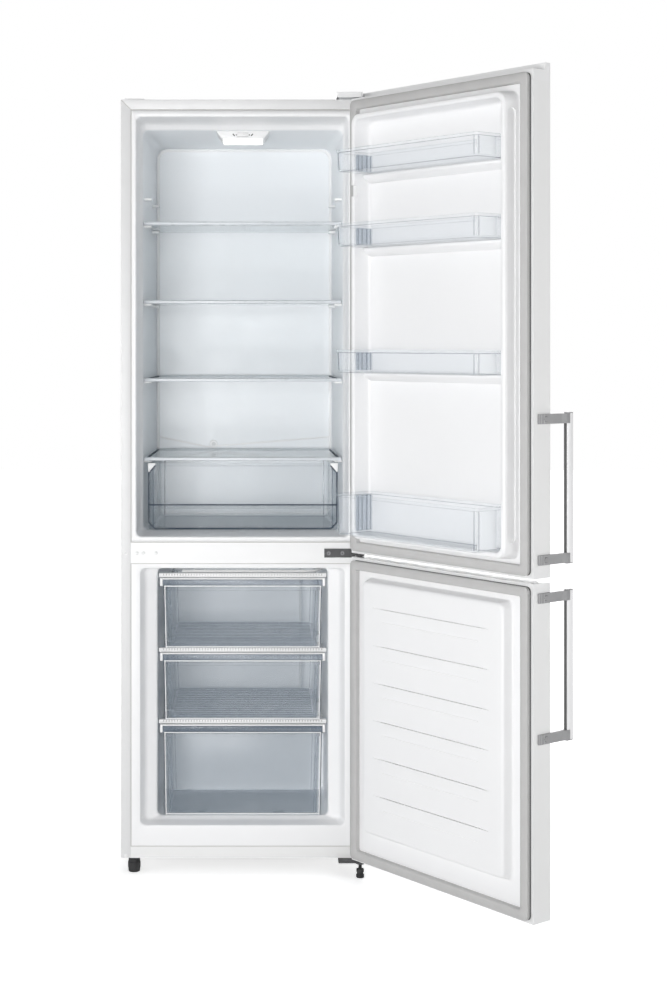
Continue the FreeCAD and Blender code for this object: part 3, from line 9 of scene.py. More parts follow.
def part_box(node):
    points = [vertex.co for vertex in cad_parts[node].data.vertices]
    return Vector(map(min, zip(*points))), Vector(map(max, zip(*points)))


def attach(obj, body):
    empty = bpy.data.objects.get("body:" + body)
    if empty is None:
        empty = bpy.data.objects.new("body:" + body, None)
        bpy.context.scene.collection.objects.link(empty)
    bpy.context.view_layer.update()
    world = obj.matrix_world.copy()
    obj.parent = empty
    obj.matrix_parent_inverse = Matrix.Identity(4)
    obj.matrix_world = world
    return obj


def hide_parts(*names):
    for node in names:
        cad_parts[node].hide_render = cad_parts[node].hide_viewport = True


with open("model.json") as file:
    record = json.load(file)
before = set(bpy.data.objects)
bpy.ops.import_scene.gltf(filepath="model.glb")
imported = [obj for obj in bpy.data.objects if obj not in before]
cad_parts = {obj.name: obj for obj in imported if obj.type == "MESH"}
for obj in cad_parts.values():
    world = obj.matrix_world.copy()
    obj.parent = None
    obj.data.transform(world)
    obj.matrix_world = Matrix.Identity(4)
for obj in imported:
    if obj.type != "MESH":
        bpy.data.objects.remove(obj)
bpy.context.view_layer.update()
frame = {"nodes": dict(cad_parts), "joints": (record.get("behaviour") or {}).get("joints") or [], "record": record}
MM = 0.001


def mm(*values):
    """Millimetres as metres; a row among the values stays a row."""
    return tuple(mm(*value) if isinstance(value, tuple) else value * MM for value in values)


# The photograph's camera: focal length and principal point in its pixels
IMAGE_HEIGHT = 1000
IMAGE_WIDTH = 667
FOCAL_PX = 1707
CENTRE_PX = (261, 340.5)
CAMERA_AT = mm(42, -3860, 1205)
SENSOR = 36

# Pieces are drawn from the middle of the cabinet's front frame on the floor, then moved into the part's frame
WRAP_LOW, WRAP_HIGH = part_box("outer_wrap")
TO_ROW = Matrix.Translation(((WRAP_LOW.x + WRAP_HIGH.x) / 2, WRAP_LOW.y, 0))

# Door pieces are drawn shut, then swung open about the hinge
HINGE_JOINT = next(joint for joint in frame["joints"] if joint["name"] == "fridge_door_hinge")
DOOR_OPEN = -HINGE_JOINT["range_deg"][0]
TO_AXIS = Matrix.Translation(HINGE_JOINT["pos_m"])
SWING_TO_ROW = TO_AXIS @ Matrix.Rotation(math.radians(DOOR_OPEN), 4, "Z") @ TO_AXIS.inverted() @ TO_ROW

# Cabinet
HALF = 275 * MM
STRIP = 22.5 * MM
DEPTH = 475 * MM
CABINET_BASE = 35 * MM
CABINET_TOP = 1750 * MM
RAIL_TOP = 61 * MM
MULLION_BOTTOM = 701 * MM
MULLION_TOP = 748 * MM
FLANGE_HALF = HALF - STRIP
FLANGE_TOP = CABINET_TOP - STRIP
SHEET = 1 * MM
LINER_WALL = 2 * MM
SEAM = 0.6 * MM
JOINT = 1.4 * MM

# Doors, drawn shut
DOOR_INNER = -12 * MM
DOORS = {"fridge_door": mm(729, 1747), "freezer_door": mm(41, 720)}
CAP_HEIGHT = 22 * MM
DOOR_SKIN = 0.8 * MM

# Meshes
CORNER_STEPS = 6
LEAST_CORNER = 2 * MM
SOFT_STEPS = 4
SOFT_SHARE = 0.49
BEVEL_STEPS = 2
BEVEL_PROFILE = 0.5
TURN_STEPS = 32
SMOOTH_DEG = 35
SPINS = {
    "X": Matrix.Rotation(math.radians(90), 3, "Y"),
    "Y": Matrix.Rotation(math.radians(-90), 3, "X"),
    "Z": Matrix.Identity(3),
}


def drawn_box(node):
    """A node's lowest and highest corners, from the middle of the cabinet's front frame."""
    low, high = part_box(node)
    return low - TO_ROW.translation, high - TO_ROW.translation


def rounded_loop(u0, u1, v0, v1, radius, place):
    """Points of a rounded rectangle; place(u, v) gives each its position."""
    corners = (
        (u1 - radius, v0 + radius, -90),
        (u1 - radius, v1 - radius, 0),
        (u0 + radius, v1 - radius, 90),
        (u0 + radius, v0 + radius, 180),
    )
    points = []
    for centre_u, centre_v, start in corners:
        for step in range(CORNER_STEPS + 1):
            turn = math.radians(start + 90 * step / CORNER_STEPS)
            points.append(place(centre_u + radius * math.cos(turn), centre_v + radius * math.sin(turn)))
    return points


def front_loop(section):
    """Rounded rectangle facing the front, from half width, bottom, top, corner radius and depth."""
    half, bottom, top, corner, y = section
    return rounded_loop(-half, half, bottom, top, corner, lambda u, v: Vector((u, y, v)))


def plan_loop(section):
    """Rounded rectangle seen from above, from front and rear half widths, front, rear, corner and height."""
    half, rear_half, front, rear, corner, z = section

    def place(u, v):
        share = (v - front) / (rear - front)
        return Vector((u * (1 + (rear_half / half - 1) * share), v, z))

    return rounded_loop(-half, half, front, rear, corner, place)


def at_depth(section, y):
    """The same front-facing section at another depth."""
    return section[:4] + (y,)


def inset_section(section, inset):
    """Front-facing section drawn in on every side."""
    half, bottom, top, corner, y = section
    return (half - inset, bottom + inset, top - inset, max(corner - inset / 2, LEAST_CORNER), y)


def soften(sections, radii):
    """Rounds a profile that runs through sections: one radius for each section between the ends."""

    def toward(corner, other, radius):
        length = max(abs(a - b) for a, b in zip(corner, other))
        share = min(radius / length, SOFT_SHARE)
        return [a + (b - a) * share for a, b in zip(corner, other)]

    soft = [sections[0]]
    for before, corner, after, radius in zip(sections, sections[1:], sections[2:], radii):
        start = toward(corner, before, radius)
        end = toward(corner, after, radius)
        for step in range(SOFT_STEPS + 1):
            t = step / SOFT_STEPS
            values = zip(start, corner, end)
            soft.append([a * (1 - t) ** 2 + 2 * c * t * (1 - t) + b * t * t for a, c, b in values])
    soft.append(sections[-1])
    return soft


def paint(faces, material):
    for face in faces:
        face.material_index = material


def loft(bm, loops, cap_first=False, cap_last=False, closed=False, material=0):
    """Skins a row of loops with quads.

    Returns the new faces: a list for each pair of loops, then one for each cap.
    """
    rings = [[bm.verts.new(point) for point in loop] for loop in loops]
    if closed:
        rings.append(rings[0])
    bands = []
    for low, high in zip(rings, rings[1:]):
        band = []
        for index in range(len(low)):
            after = (index + 1) % len(low)
            band.append(bm.faces.new((low[index], low[after], high[after], high[index])))
        bands.append(band)
    if cap_first:
        bands.append([bm.faces.new(rings[0][::-1])])
    if cap_last:
        bands.append([bm.faces.new(rings[-1])])
    for band in bands:
        paint(band, material)
    return bands


def formed(sections, radii, cap_first=False):
    """Sheet formed through front-facing sections with soft bends, closed across the last one."""
    bm = bmesh.new()
    loft(bm, [front_loop(section) for section in soften(sections, radii)], cap_first, cap_last=True)
    return bm


def prism(bm, outline, along, bevel=0.0, material=0):
    """Solid that carries a flat outline along a vector, with its edges rounded by bevel."""
    start = [bm.verts.new(point) for point in outline]
    end = [bm.verts.new(Vector(point) + Vector(along)) for point in outline]
    faces = [bm.faces.new(start[::-1]), bm.faces.new(end)]
    for index in range(len(start)):
        after = (index + 1) % len(start)
        faces.append(bm.faces.new((start[index], start[after], end[after], end[index])))
    if bevel:
        edges = list({edge for face in faces for edge in face.edges})
        rounded = bmesh.ops.bevel(bm, geom=edges, offset=bevel, segments=BEVEL_STEPS, profile=BEVEL_PROFILE,
                                  affect="EDGES")
        faces = {face for strip in rounded["faces"] for edge in strip.edges for face in edge.link_faces}
    paint(faces, material)


def block(bm, low, high, bevel=0.0, material=0):
    """Box between two corners, with rounded edges."""
    (x0, y0, z0), (x1, y1, z1) = low, high
    outline = [(x0, y0, z0), (x1, y0, z0), (x1, y1, z0), (x0, y1, z0)]
    prism(bm, outline, (0, 0, z1 - z0), bevel, material)


def bar(bm, half, profile, bevel=0.0):
    """Solid that carries a profile of (y, z) pairs from -half to half along X."""
    prism(bm, [(-half, y, z) for y, z in profile], (2 * half, 0, 0), bevel)


def plate(bm, outline, y, thick, bevel=0.0, material=0):
    """Plate with an outline of (x, z) pairs, whose front lies at y."""
    prism(bm, [(x, y, z) for x, z in outline], (0, thick, 0), bevel, material)


def flat_line(bm, start, end, y, width, depth, material=0):
    """Thin strip between two (x, z) points on a front face."""
    along = Vector((end[0] - start[0], 0, end[1] - start[1])).normalized()
    across = Vector((-along.z, 0, along.x)) * width / 2
    first = Vector((start[0], y, start[1]))
    last = Vector((end[0], y, end[1]))
    outline = [first - across, last - across, last + across, first + across]
    prism(bm, outline, (0, depth, 0), material=material)


def turned(bm, profile, centre, axis="Z", steps=TURN_STEPS, material=0):
    """Solid of revolution from (radius, height) pairs about an axis through centre."""
    loops = []
    for radius, height in profile:
        loop = []
        for step in range(steps):
            turn = 2 * math.pi * step / steps
            spoke = Vector((radius * math.cos(turn), radius * math.sin(turn), height))
            loop.append(Vector(centre) + SPINS[axis] @ spoke)
        loops.append(loop)
    loft(bm, loops, cap_first=True, cap_last=True, material=material)


def link_mesh(name, bm, place):
    """Mesh object of bm, moved by place."""
    bmesh.ops.recalc_face_normals(bm, faces=bm.faces)
    bm.transform(place)
    mesh = bpy.data.meshes.new(name)
    bm.to_mesh(mesh)
    bm.free()
    thing = bpy.data.objects.new(name, mesh)
    bpy.context.scene.collection.objects.link(thing)
    return thing


def smooth_faces(mesh, degrees):
    """Shades a mesh smooth, apart from edges sharper than the angle."""
    mesh.shade_smooth()
    mesh.set_sharp_from_angle(angle=math.radians(degrees))


def piece(name, bm, materials, body, slot, replaces=(), shut=False, smooth=SMOOTH_DEG, wall=0.0):
    """Makes an object of bm that rides on body, swung open if it is drawn on the shut door.

    Clear pieces cast no shadow.
    """
    thing = link_mesh(name, bm, SWING_TO_ROW if shut else TO_ROW)
    for material in materials:
        thing.data.materials.append(material)
    smooth_faces(thing.data, smooth)
    if wall:
        solid = thing.modifiers.new("wall", "SOLIDIFY")
        solid.thickness = wall
        solid.offset = 1
    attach(thing, body)
    if replaces:
        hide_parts(*replaces)
    thing.visible_shadow = slot != "clear_plastic"
    return thing


def carve(target, bm, place):
    """Cuts the solids of bm, moved by place, out of a mesh object."""
    cutter = link_mesh("cutter", bm, place)
    modifier = target.modifiers.new("carve", "BOOLEAN")
    modifier.operation = "DIFFERENCE"
    modifier.solver = "EXACT"
    modifier.object = cutter
    bpy.context.view_layer.update()
    graph = bpy.context.evaluated_depsgraph_get()
    carved = bpy.data.meshes.new_from_object(target.evaluated_get(graph))
    target.modifiers.clear()
    target.data = carved
    bpy.data.objects.remove(cutter)
    smooth_faces(carved, SMOOTH_DEG)


# Materials
NOISE_RANGE = (0.3, 0.7)
GRAIN_DETAIL = 2
PLAIN_SPECULAR = 0.5
RUBBER_SPECULAR = 0.35
SPANGLE_SCALE = 70
EDGE_ON_BLEND = 0.35
# Every material by its name; a slot takes the material that bears its name
MATERIALS = {}


def shader_of(name, colour, roughness, metallic=0.0):
    """New material with its node tree and shader."""
    material = bpy.data.materials.new(name)
    material.use_nodes = True
    shader = material.node_tree.nodes["Principled BSDF"]
    shader.inputs["Base Color"].default_value = (*colour, 1)
    shader.inputs["Roughness"].default_value = roughness
    shader.inputs["Metallic"].default_value = metallic
    MATERIALS[name] = material
    return material, material.node_tree, shader


def noise(tree, scale, detail=3.0, stretch=(1, 1, 1)):
    """Noise in the object's own metres; stretch scales its axes."""
    place = tree.nodes.new("ShaderNodeTexCoord")
    mapping = tree.nodes.new("ShaderNodeMapping")
    mapping.inputs["Scale"].default_value = stretch
    texture = tree.nodes.new("ShaderNodeTexNoise")
    texture.inputs["Scale"].default_value = scale
    texture.inputs["Detail"].default_value = detail
    tree.links.new(place.outputs["Object"], mapping.inputs["Vector"])
    tree.links.new(mapping.outputs["Vector"], texture.inputs["Vector"])
    return texture.outputs["Fac"]


def bump(tree, shader, height, strength, distance):
    node = tree.nodes.new("ShaderNodeBump")
    node.inputs["Strength"].default_value = strength
    node.inputs["Distance"].default_value = distance
    tree.links.new(height, node.inputs["Height"])
    tree.links.new(node.outputs["Normal"], shader.inputs["Normal"])


def map_range(tree, value, source, target, socket):
    """Maps a value from the source range to the target range and feeds it to a socket."""
    node = tree.nodes.new("ShaderNodeMapRange")
    for name, limit in zip(("From Min", "From Max", "To Min", "To Max"), (*source, *target)):
        node.inputs[name].default_value = limit
    tree.links.new(value, node.inputs["Value"])
    tree.links.new(node.outputs["Result"], socket)


def vary(tree, value, target, socket):
    """Maps a noise value to a range and feeds it to a socket."""
    map_range(tree, value, NOISE_RANGE, target, socket)


def tint(tree, value, colour, tones, shader):
    """Mixes a darker and a lighter tone of a colour by a noise value into the base colour."""
    node = tree.nodes.new("ShaderNodeMix")
    node.data_type = "RGBA"
    for name, tone in zip(("A", "B"), tones):
        node.inputs[name].default_value = (*(channel * tone for channel in colour), 1)
    tree.links.new(value, node.inputs["Factor"])
    tree.links.new(node.outputs["Result"], shader.inputs["Base Color"])


def uneven(name, colour, gloss, tones, patches, grain, specular=PLAIN_SPECULAR):
    """Opaque surface with uneven colour and gloss and a fine relief.

    gloss is the range of roughness and tones that of brightness. patches are the noise scales of colour and
    gloss, and grain is the relief's noise scale, strength and depth.
    """
    material, tree, shader = shader_of(name, colour, sum(gloss) / 2)
    shader.inputs["Specular IOR Level"].default_value = specular
    tint(tree, noise(tree, patches[0]), colour, tones, shader)
    vary(tree, noise(tree, patches[1]), gloss, shader.inputs["Roughness"])
    scale, strength, depth = grain
    bump(tree, shader, noise(tree, scale, GRAIN_DETAIL), strength, depth)
    return material


def painted_steel(name, colour, roughness):
    """Powder paint with a fine orange peel."""
    return uneven(name, colour, gloss=(roughness * 0.85, roughness * 1.15), tones=(0.985, 1.015),
                  patches=(6, 40), grain=(700, 0.12, 0.2 * MM))


def moulded_plastic(name, colour, roughness, scale=1400, strength=0.1):
    """Moulded plastic with a fine grain and slightly uneven gloss."""
    return uneven(name, colour, gloss=(roughness * 0.8, roughness * 1.2), tones=(0.98, 1.02),
                  patches=(9, 60), grain=(scale, strength, 0.15 * MM))


def formed_liner(name, colour):
    """Vacuum-formed sheet: glossy, with a faint grain."""
    return uneven(name, colour, gloss=(0.28, 0.36), tones=(0.985, 1.01), patches=(5, 25),
                  grain=(900, 0.05, 0.1 * MM))


def rubber(name, colour):
    """Dull rubber with a fine grain."""
    return uneven(name, colour, gloss=(0.5, 0.7), tones=(0.95, 1.05), patches=(30, 90),
                  grain=(1100, 0.15, 0.15 * MM), specular=RUBBER_SPECULAR)


def brushed_metal(name, colour, roughness, stretch):
    """Metal with fine brush lines along the axis that stretch leaves short."""
    material, tree, shader = shader_of(name, colour, roughness, metallic=1.0)
    lines = noise(tree, scale=900, detail=4, stretch=stretch)
    tint(tree, lines, colour, (0.92, 1.05), shader)
    vary(tree, lines, (roughness * 0.8, roughness * 1.3), shader.inputs["Roughness"])
    bump(tree, shader, lines, strength=0.08, distance=0.1 * MM)
    return material


def galvanised(name, colour):
    """Zinc-coated sheet with its crystal spangle."""
    material, tree, shader = shader_of(name, colour, roughness=0.42, metallic=0.85)
    place = tree.nodes.new("ShaderNodeTexCoord")
    cells = tree.nodes.new("ShaderNodeTexVoronoi")
    cells.inputs["Scale"].default_value = SPANGLE_SCALE
    tree.links.new(place.outputs["Object"], cells.inputs["Vector"])
    tint(tree, cells.outputs["Color"], colour, (0.86, 1.1), shader)
    vary(tree, cells.outputs["Color"], (0.34, 0.52), shader.inputs["Roughness"])
    return material


def clear_plastic(name, colour, thin, thick, roughness=0.08):
    """Clear sheet: see-through face on, denser where it is seen edge on."""
    material, tree, shader = shader_of(name, colour, roughness)
    facing = tree.nodes.new("ShaderNodeLayerWeight")
    facing.inputs["Blend"].default_value = EDGE_ON_BLEND
    map_range(tree, facing.outputs["Facing"], (0, 1), (thin, thick), shader.inputs["Alpha"])
    vary(tree, noise(tree, 30), (roughness * 0.6, roughness * 1.5), shader.inputs["Roughness"])
    return material


def lamp_cover(name):
    """Frosted cover lit from inside, unevenly bright."""
    material, tree, shader = shader_of(name, (0.95, 0.95, 0.93), 0.4)
    shader.inputs["Emission Color"].default_value = (1, 0.99, 0.96, 1)
    vary(tree, noise(tree, 45), (1.0, 1.25), shader.inputs["Emission Strength"])
    return material


WHITE_STEEL = painted_steel("white_steel", (0.83, 0.83, 0.825), 0.34)
FRAME_GREY = painted_steel("frame_grey", (0.74, 0.74, 0.74), 0.4)
LINER = formed_liner("liner_plastic", (0.88, 0.88, 0.885))
# Lighter, bluish copy of the liner for the cavities' insides: painted light with a painted cool reflection
LINER_PAINTED_LIGHT = formed_liner("liner_painted_light", (0.935, 0.955, 0.975))
# Lighter copy of the liner for studs, beads, rims and the gutter: a painted highlight
LINER_HIGHLIGHT = formed_liner("liner_painted_highlight", (0.95, 0.95, 0.95))
WHITE_PLASTIC = moulded_plastic("white_plastic", (0.84, 0.84, 0.84), 0.35)
SEAL = rubber("seal_grey", (0.52, 0.515, 0.51))
# Near-black seal for the bellows' folds: painted shade
SEAL_SHADE = rubber("seal_painted_shade", (0.07, 0.07, 0.07))
CLEAR = clear_plastic("clear_plastic", (0.78, 0.84, 0.90), 0.03, 0.3)
# Dark clear plastic for lines along the clear parts' edges, corners and ribs: painted shade
CLEAR_SHADED_EDGE = clear_plastic("clear_edge_painted_shade", (0.13, 0.17, 0.22), 0.55, 0.95)
CLEAR_HOOK = clear_plastic("clear_hook", (0.42, 0.50, 0.60), 0.26, 0.6)
# Whitish see-through sheet: painted light on a lit end wall
CLEAR_PAINTED_LIGHT = clear_plastic("clear_painted_light", (0.93, 0.94, 0.95), 0.5, 0.75)
# Near-black lines on clear parts and shelves: painted shade along their edges
CLEAR_SHADE_LINE = clear_plastic("clear_painted_shade_line", (0.03, 0.045, 0.07), 0.9, 0.97, 0.6)
CRISPER_CLEAR = clear_plastic("crisper_clear", (0.48, 0.57, 0.64), 0.075, 0.45)
# Darker clear plastic for the grip band; the trays' edges and ribs take it as painted shade
DRAWER_BAND_AND_EDGE_SHADE = clear_plastic("drawer_band_and_edge_shade", (0.20, 0.25, 0.31), 0.4, 0.8, 0.2)
TRIM = moulded_plastic("shelf_trim", (0.70, 0.73, 0.76), 0.3)
DRAWER_CLEAR = clear_plastic("drawer_clear", (0.46, 0.54, 0.62), 0.08, 0.45, 0.2)
clear_plastic("shelf_glass", (0.60, 0.70, 0.74), 0.22, 0.85, 0.03)
painted_steel("dark_steel", (0.055, 0.055, 0.058), 0.55)
SILVER = brushed_metal("silver", (0.56, 0.56, 0.565), 0.36, (1, 1, 0.02))
SCREW = brushed_metal("screw_steel", (0.13, 0.13, 0.135), 0.45, (1, 1, 1))
BAR_INNER = moulded_plastic("bar_inner", (0.11, 0.11, 0.11), 0.45)
BRACKET = moulded_plastic("bracket_grey", (0.30, 0.30, 0.305), 0.45)
# Lighter grey for lines on the brackets: a painted highlight
BRACKET_HIGHLIGHT = moulded_plastic("bracket_painted_highlight", (0.42, 0.42, 0.425), 0.4)
BLACK_PLASTIC = moulded_plastic("black_plastic", (0.012, 0.012, 0.013), 0.7, 900, 0.3)
# Black for the screws' cross recesses: painted shade
RECESS_SHADE = painted_steel("black_steel", (0.02, 0.02, 0.021), 0.3)
rubber("black_rubber", (0.03, 0.03, 0.03))
galvanised("zinc_steel", (0.50, 0.51, 0.52))
brushed_metal("aluminium_plate", (0.78, 0.78, 0.79), 0.35, (0.02, 1, 1))
moulded_plastic("foam", (0.50, 0.49, 0.46), 0.9, 300, 0.8)
LAMP = lamp_cover("lamp")
INK = moulded_plastic("dial_ink", (0.02, 0.02, 0.02), 0.5)


def dress_nodes():
    """Gives every solid the material of its slot, the base white paint and the screws dark steel.

    Clear ones cast no shadow.
    """
    for part in frame["record"]["subparts"]:
        node = frame["nodes"][part["node"]]
        node.data.materials.clear()
        node.data.materials.append(MATERIALS[part["material_slot"]])
        node.visible_shadow = part["material_slot"] not in ("clear_plastic", "shelf_glass")
    frame["nodes"]["base_plate"].data.materials[0] = WHITE_STEEL
    frame["nodes"]["hinge_screws"].data.materials[0] = SCREW


# Cabinet
WRAP_BEVEL = 0.4 * MM


def make_wrap():
    """Folded steel: front strips mitred at the top corners, sides and top."""
    bm = bmesh.new()
    gap = JOINT / 2
    fold = SHEET / 2
    for side in (-1, 1):
        outer_x = side * HALF
        inner_x = side * FLANGE_HALF
        strip = [(outer_x, CABINET_BASE), (inner_x, CABINET_BASE), (inner_x, FLANGE_TOP - gap),
                 (outer_x, CABINET_TOP - gap)]
        plate(bm, strip, 0, SHEET, WRAP_BEVEL)
        low_x, high_x = sorted((outer_x, outer_x - side * SHEET))
        block(bm, (low_x, fold, CABINET_BASE), (high_x, DEPTH, CABINET_TOP - fold), WRAP_BEVEL)
    top = [(gap - FLANGE_HALF, FLANGE_TOP), (FLANGE_HALF - gap, FLANGE_TOP), (HALF - gap, CABINET_TOP),
           (gap - HALF, CABINET_TOP)]
    plate(bm, top, 0, SHEET, WRAP_BEVEL)
    block(bm, (fold - HALF, fold, CABINET_TOP - SHEET), (HALF - fold, DEPTH, CABINET_TOP), WRAP_BEVEL)
    piece("outer_wrap_form", bm, [FRAME_GREY], "cabinet", "frame_grey", ["outer_wrap"])


# Sections of a formed sheet: half width, bottom, top, corner radius and depth
FRIDGE_MOUTH = mm(240, 761.5, 1711, 12, 0)
FRIDGE_SHOULDER = mm(237.5, 764, 1708.5, 12, 72)
FRIDGE_INSIDE = mm(231, 766, 1690, 12, 88)
FRIDGE_REAR = mm(221, 766, 1687, 25, 430)
FRIDGE_BENDS = mm(5, 30, 5, 4)
REAR_INSET = 25 * MM


def paint_light_inside(bm, from_y):
    """Gives the faces deeper than from_y the second material: the liner's lighter, bluish copy, which is painted
    light with a painted cool reflection.
    """
    paint([face for face in bm.faces if face.calc_center_median().y > from_y], 1)


def make_fridge_liner():
    """Formed box with a soft shoulder."""
    flange = (FLANGE_HALF - JOINT, MULLION_TOP + JOINT, FLANGE_TOP - JOINT, SEAM, 0)
    rear = inset_section(FRIDGE_REAR, REAR_INSET)
    bm = formed([flange, FRIDGE_MOUTH, FRIDGE_SHOULDER, FRIDGE_INSIDE, FRIDGE_REAR, rear], FRIDGE_BENDS)
    # Faces inside the cavity take the painted light
    paint_light_inside(bm, FRIDGE_INSIDE[4])
    piece("fridge_liner_form", bm, [LINER, LINER_PAINTED_LIGHT], "cabinet", "liner_plastic", ["fridge_liner"],
          wall=LINER_WALL)


# Shelf studs: front, rear and distance of the inner face from the middle
STUDS = mm((116, 146, 213), (322, 352, 208))
STUD_TOPS = mm(1537, 1474, 1292, 1111, 927.5)
STUD_HEIGHT = 6 * MM
STUD_BEVEL = 2 * MM
# Bead round the rear wall: distance from the wall's edge and height
BEAD = mm((2, 0), (3, 3), (5.5, 3.6), (7.5, 3), (8.5, 0))
GUTTER_LOW = mm(-93, 940)
GUTTER_END_Z = 965 * MM
GUTTER_HEIGHT = 3.6 * MM
GUTTER_PROUD = 1.2 * MM


def make_liner_ribs():
    """Shelf studs on the side walls, a bead round the rear wall and the sloping drain gutter, all in a lighter
    copy of the liner as a painted highlight.
    """
    bm = bmesh.new()
    rear_y = FRIDGE_REAR[4]
    for level in STUD_TOPS:
        for side in (-1, 1):
            for front, rear, inner in STUDS:
                low_x, high_x = sorted((side * inner, side * FRIDGE_INSIDE[0]))
                block(bm, (low_x, front, level - STUD_HEIGHT), (high_x, rear, level), STUD_BEVEL)
    bead = [inset_section(at_depth(FRIDGE_REAR, rear_y - proud), inset) for inset, proud in BEAD]
    loft(bm, [front_loop(section) for section in bead])
    low_x, low_z = GUTTER_LOW
    for side in (-1, 1):
        end_x = side * (FRIDGE_REAR[0] - REAR_INSET / 4)
        outline = [(low_x, low_z - GUTTER_HEIGHT), (end_x, GUTTER_END_Z - GUTTER_HEIGHT),
                   (end_x, GUTTER_END_Z), (low_x, low_z)]
        plate(bm, outline, rear_y - GUTTER_PROUD, GUTTER_PROUD, GUTTER_PROUD / 3)
    piece("fridge_liner_ribs", bm, [LINER_HIGHLIGHT], "cabinet", "liner_plastic")


DRAIN_AT = mm(-77, 945)
# Turned profiles: radius and height
DRAIN_RIM = mm((5.6, -1), (9.1, -1), (10.5, 0))
# The hole is drawn as a grey disc: painted shade
DRAIN_SHADE_DISC = mm((5.25, -1.1), (4.9, 0))


def make_drain():
    """Drain hole in the rear wall: its rim lighter as a painted highlight, and the hole a grey disc of painted
    shade.
    """
    x, z = DRAIN_AT
    bm = bmesh.new()
    for material, profile in enumerate((DRAIN_RIM, DRAIN_SHADE_DISC)):
        turned(bm, profile, (x, FRIDGE_REAR[4], z), "Y", material=material)
    piece("drain_mouth", bm, [LINER_HIGHLIGHT, FRAME_GREY], "cabinet", "liner_plastic")


FREEZER_MOUTH = mm(231, 109, 690, 12, 0)
FREEZER_REBATE = mm(222, 113.5, 687.75, 12, 30)
FREEZER_FRONT = mm(194.5, 120, 685, 12, 42)
FREEZER_REAR = mm(190, 120, 685, 12, 425)
FREEZER_BENDS = mm(4, 9, 5, 9)
STEP_FRONT = 268 * MM
STEP_TOP = 255 * MM
STEP_BEVEL = 0.8 * MM


def make_freezer_liner():
    """Formed box with a sloping rebate and a step at the rear over the machine space."""
    flange = (FLANGE_HALF - JOINT, RAIL_TOP + JOINT, MULLION_BOTTOM - JOINT, SEAM, 0)
    rear = inset_section(FREEZER_REAR, REAR_INSET)
    bm = formed([flange, FREEZER_MOUTH, FREEZER_REBATE, FREEZER_FRONT, FREEZER_REAR, rear], FREEZER_BENDS)
    # Faces inside the cavity take the painted light
    paint_light_inside(bm, FREEZER_FRONT[4])
    liner = piece("freezer_liner_form", bm, [LINER, LINER_PAINTED_LIGHT], "cabinet", "liner_plastic",
                  ["freezer_liner"], wall=LINER_WALL)
    cutter = bmesh.new()
    block(cutter, (-HALF, STEP_FRONT, 0), (HALF, DEPTH, STEP_TOP))
    carve(liner, cutter, TO_ROW)

    half, bottom = FREEZER_FRONT[:2]
    foot = bottom - LINER_WALL
    rear_y = FREEZER_REAR[4] + LINER_WALL
    inside_y = STEP_FRONT + LINER_WALL
    inside_z = STEP_TOP - LINER_WALL
    bm = bmesh.new()
    profile = [(STEP_FRONT, foot), (inside_y, foot), (inside_y, inside_z), (rear_y, inside_z),
               (rear_y, STEP_TOP), (STEP_FRONT, STEP_TOP)]
    bar(bm, half, profile, STEP_BEVEL)
    # The step takes the liner's lighter, bluish copy too: painted light
    piece("freezer_step", bm, [LINER_PAINTED_LIGHT], "cabinet", "liner_plastic")


COOLER_HALF = 192 * MM
COOLER_FRONT = 52 * MM
COOLER_BACK = 64 * MM
COOLER_HEIGHT = 9.6 * MM
COOLER_LIFT = 1.2 * MM
COOLER_BEVEL = 1.5 * MM
COOLER_TEETH = 58
TEETH_SPAN = 0.96
TOOTH_HALF = 1.1 * MM
TOOTH_PROUD = 0.8 * MM
TOOTH_SUNK = 0.2 * MM
TOOTH_TALL = 4 * MM
TOOTH_DROP = 1.2 * MM
DRAWERS = ("top_drawer", "middle_drawer", "bottom_drawer")


def make_cooler_bars():
    """White front bar of each cooling shelf above the drawers, with a row of fine teeth."""
    bm = bmesh.new()
    for name in DRAWERS:
        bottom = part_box(name)[1].z + COOLER_LIFT
        top = bottom + COOLER_HEIGHT
        tip = top - TOOTH_DROP
        block(bm, (-COOLER_HALF, COOLER_FRONT, bottom), (COOLER_HALF, COOLER_BACK, top), COOLER_BEVEL)
        for index in range(COOLER_TEETH):
            x = COOLER_HALF * (2 * (index + 0.5) / COOLER_TEETH - 1) * TEETH_SPAN
            block(bm, (x - TOOTH_HALF, COOLER_FRONT - TOOTH_PROUD, tip - TOOTH_TALL),
                  (x + TOOTH_HALF, COOLER_FRONT + TOOTH_SUNK, tip), material=1)
    piece("cooler_bars", bm, [WHITE_PLASTIC, SEAL], "cabinet", "white_plastic")


# Door liners and seals
RIM_BASE = mm(237, 764, 1708, 22) + (DOOR_INNER,)
RIM_CREST_Y = 27 * MM
RIM_LEAN = 4 * MM
RIM_WIDTH = 11 * MM
RIM_BENDS = mm(0.3, 3, 4, 4, 9)
WELL_DRAFT = 3 * MM
WELL_Y = -16 * MM
WELL_SPREAD = 30 * MM
GROOVE_BOTTOM = 800 * MM
GROOVE_TOP = 1672 * MM
GROOVE_HALF = 11 * MM
GROOVE_ROUND = 10.78 * MM
GROOVE_DEPTH = 3 * MM
NOTCH = mm(1523, 1548)
NOTCH_DEPTH = 8 * MM
LEDGE_HALF = RIM_BASE[0] - RIM_LEAN - RIM_WIDTH
LEDGE_DEPTH = 18 * MM
LEDGE_NOSE = 6 * MM
LEDGE_HEIGHT = 20 * MM
LEDGE_BEVEL = 2 * MM
BALCONIES = ("top_balcony", "upper_balcony", "middle_balcony", "bottle_balcony")


def door_flange(door):
    """Section of a door liner's flange between the door's caps."""
    bottom, top = DOORS[door]
    return (HALF - DOOR_SKIN, bottom + CAP_HEIGHT, top - CAP_HEIGHT, SEAM, DOOR_INNER)


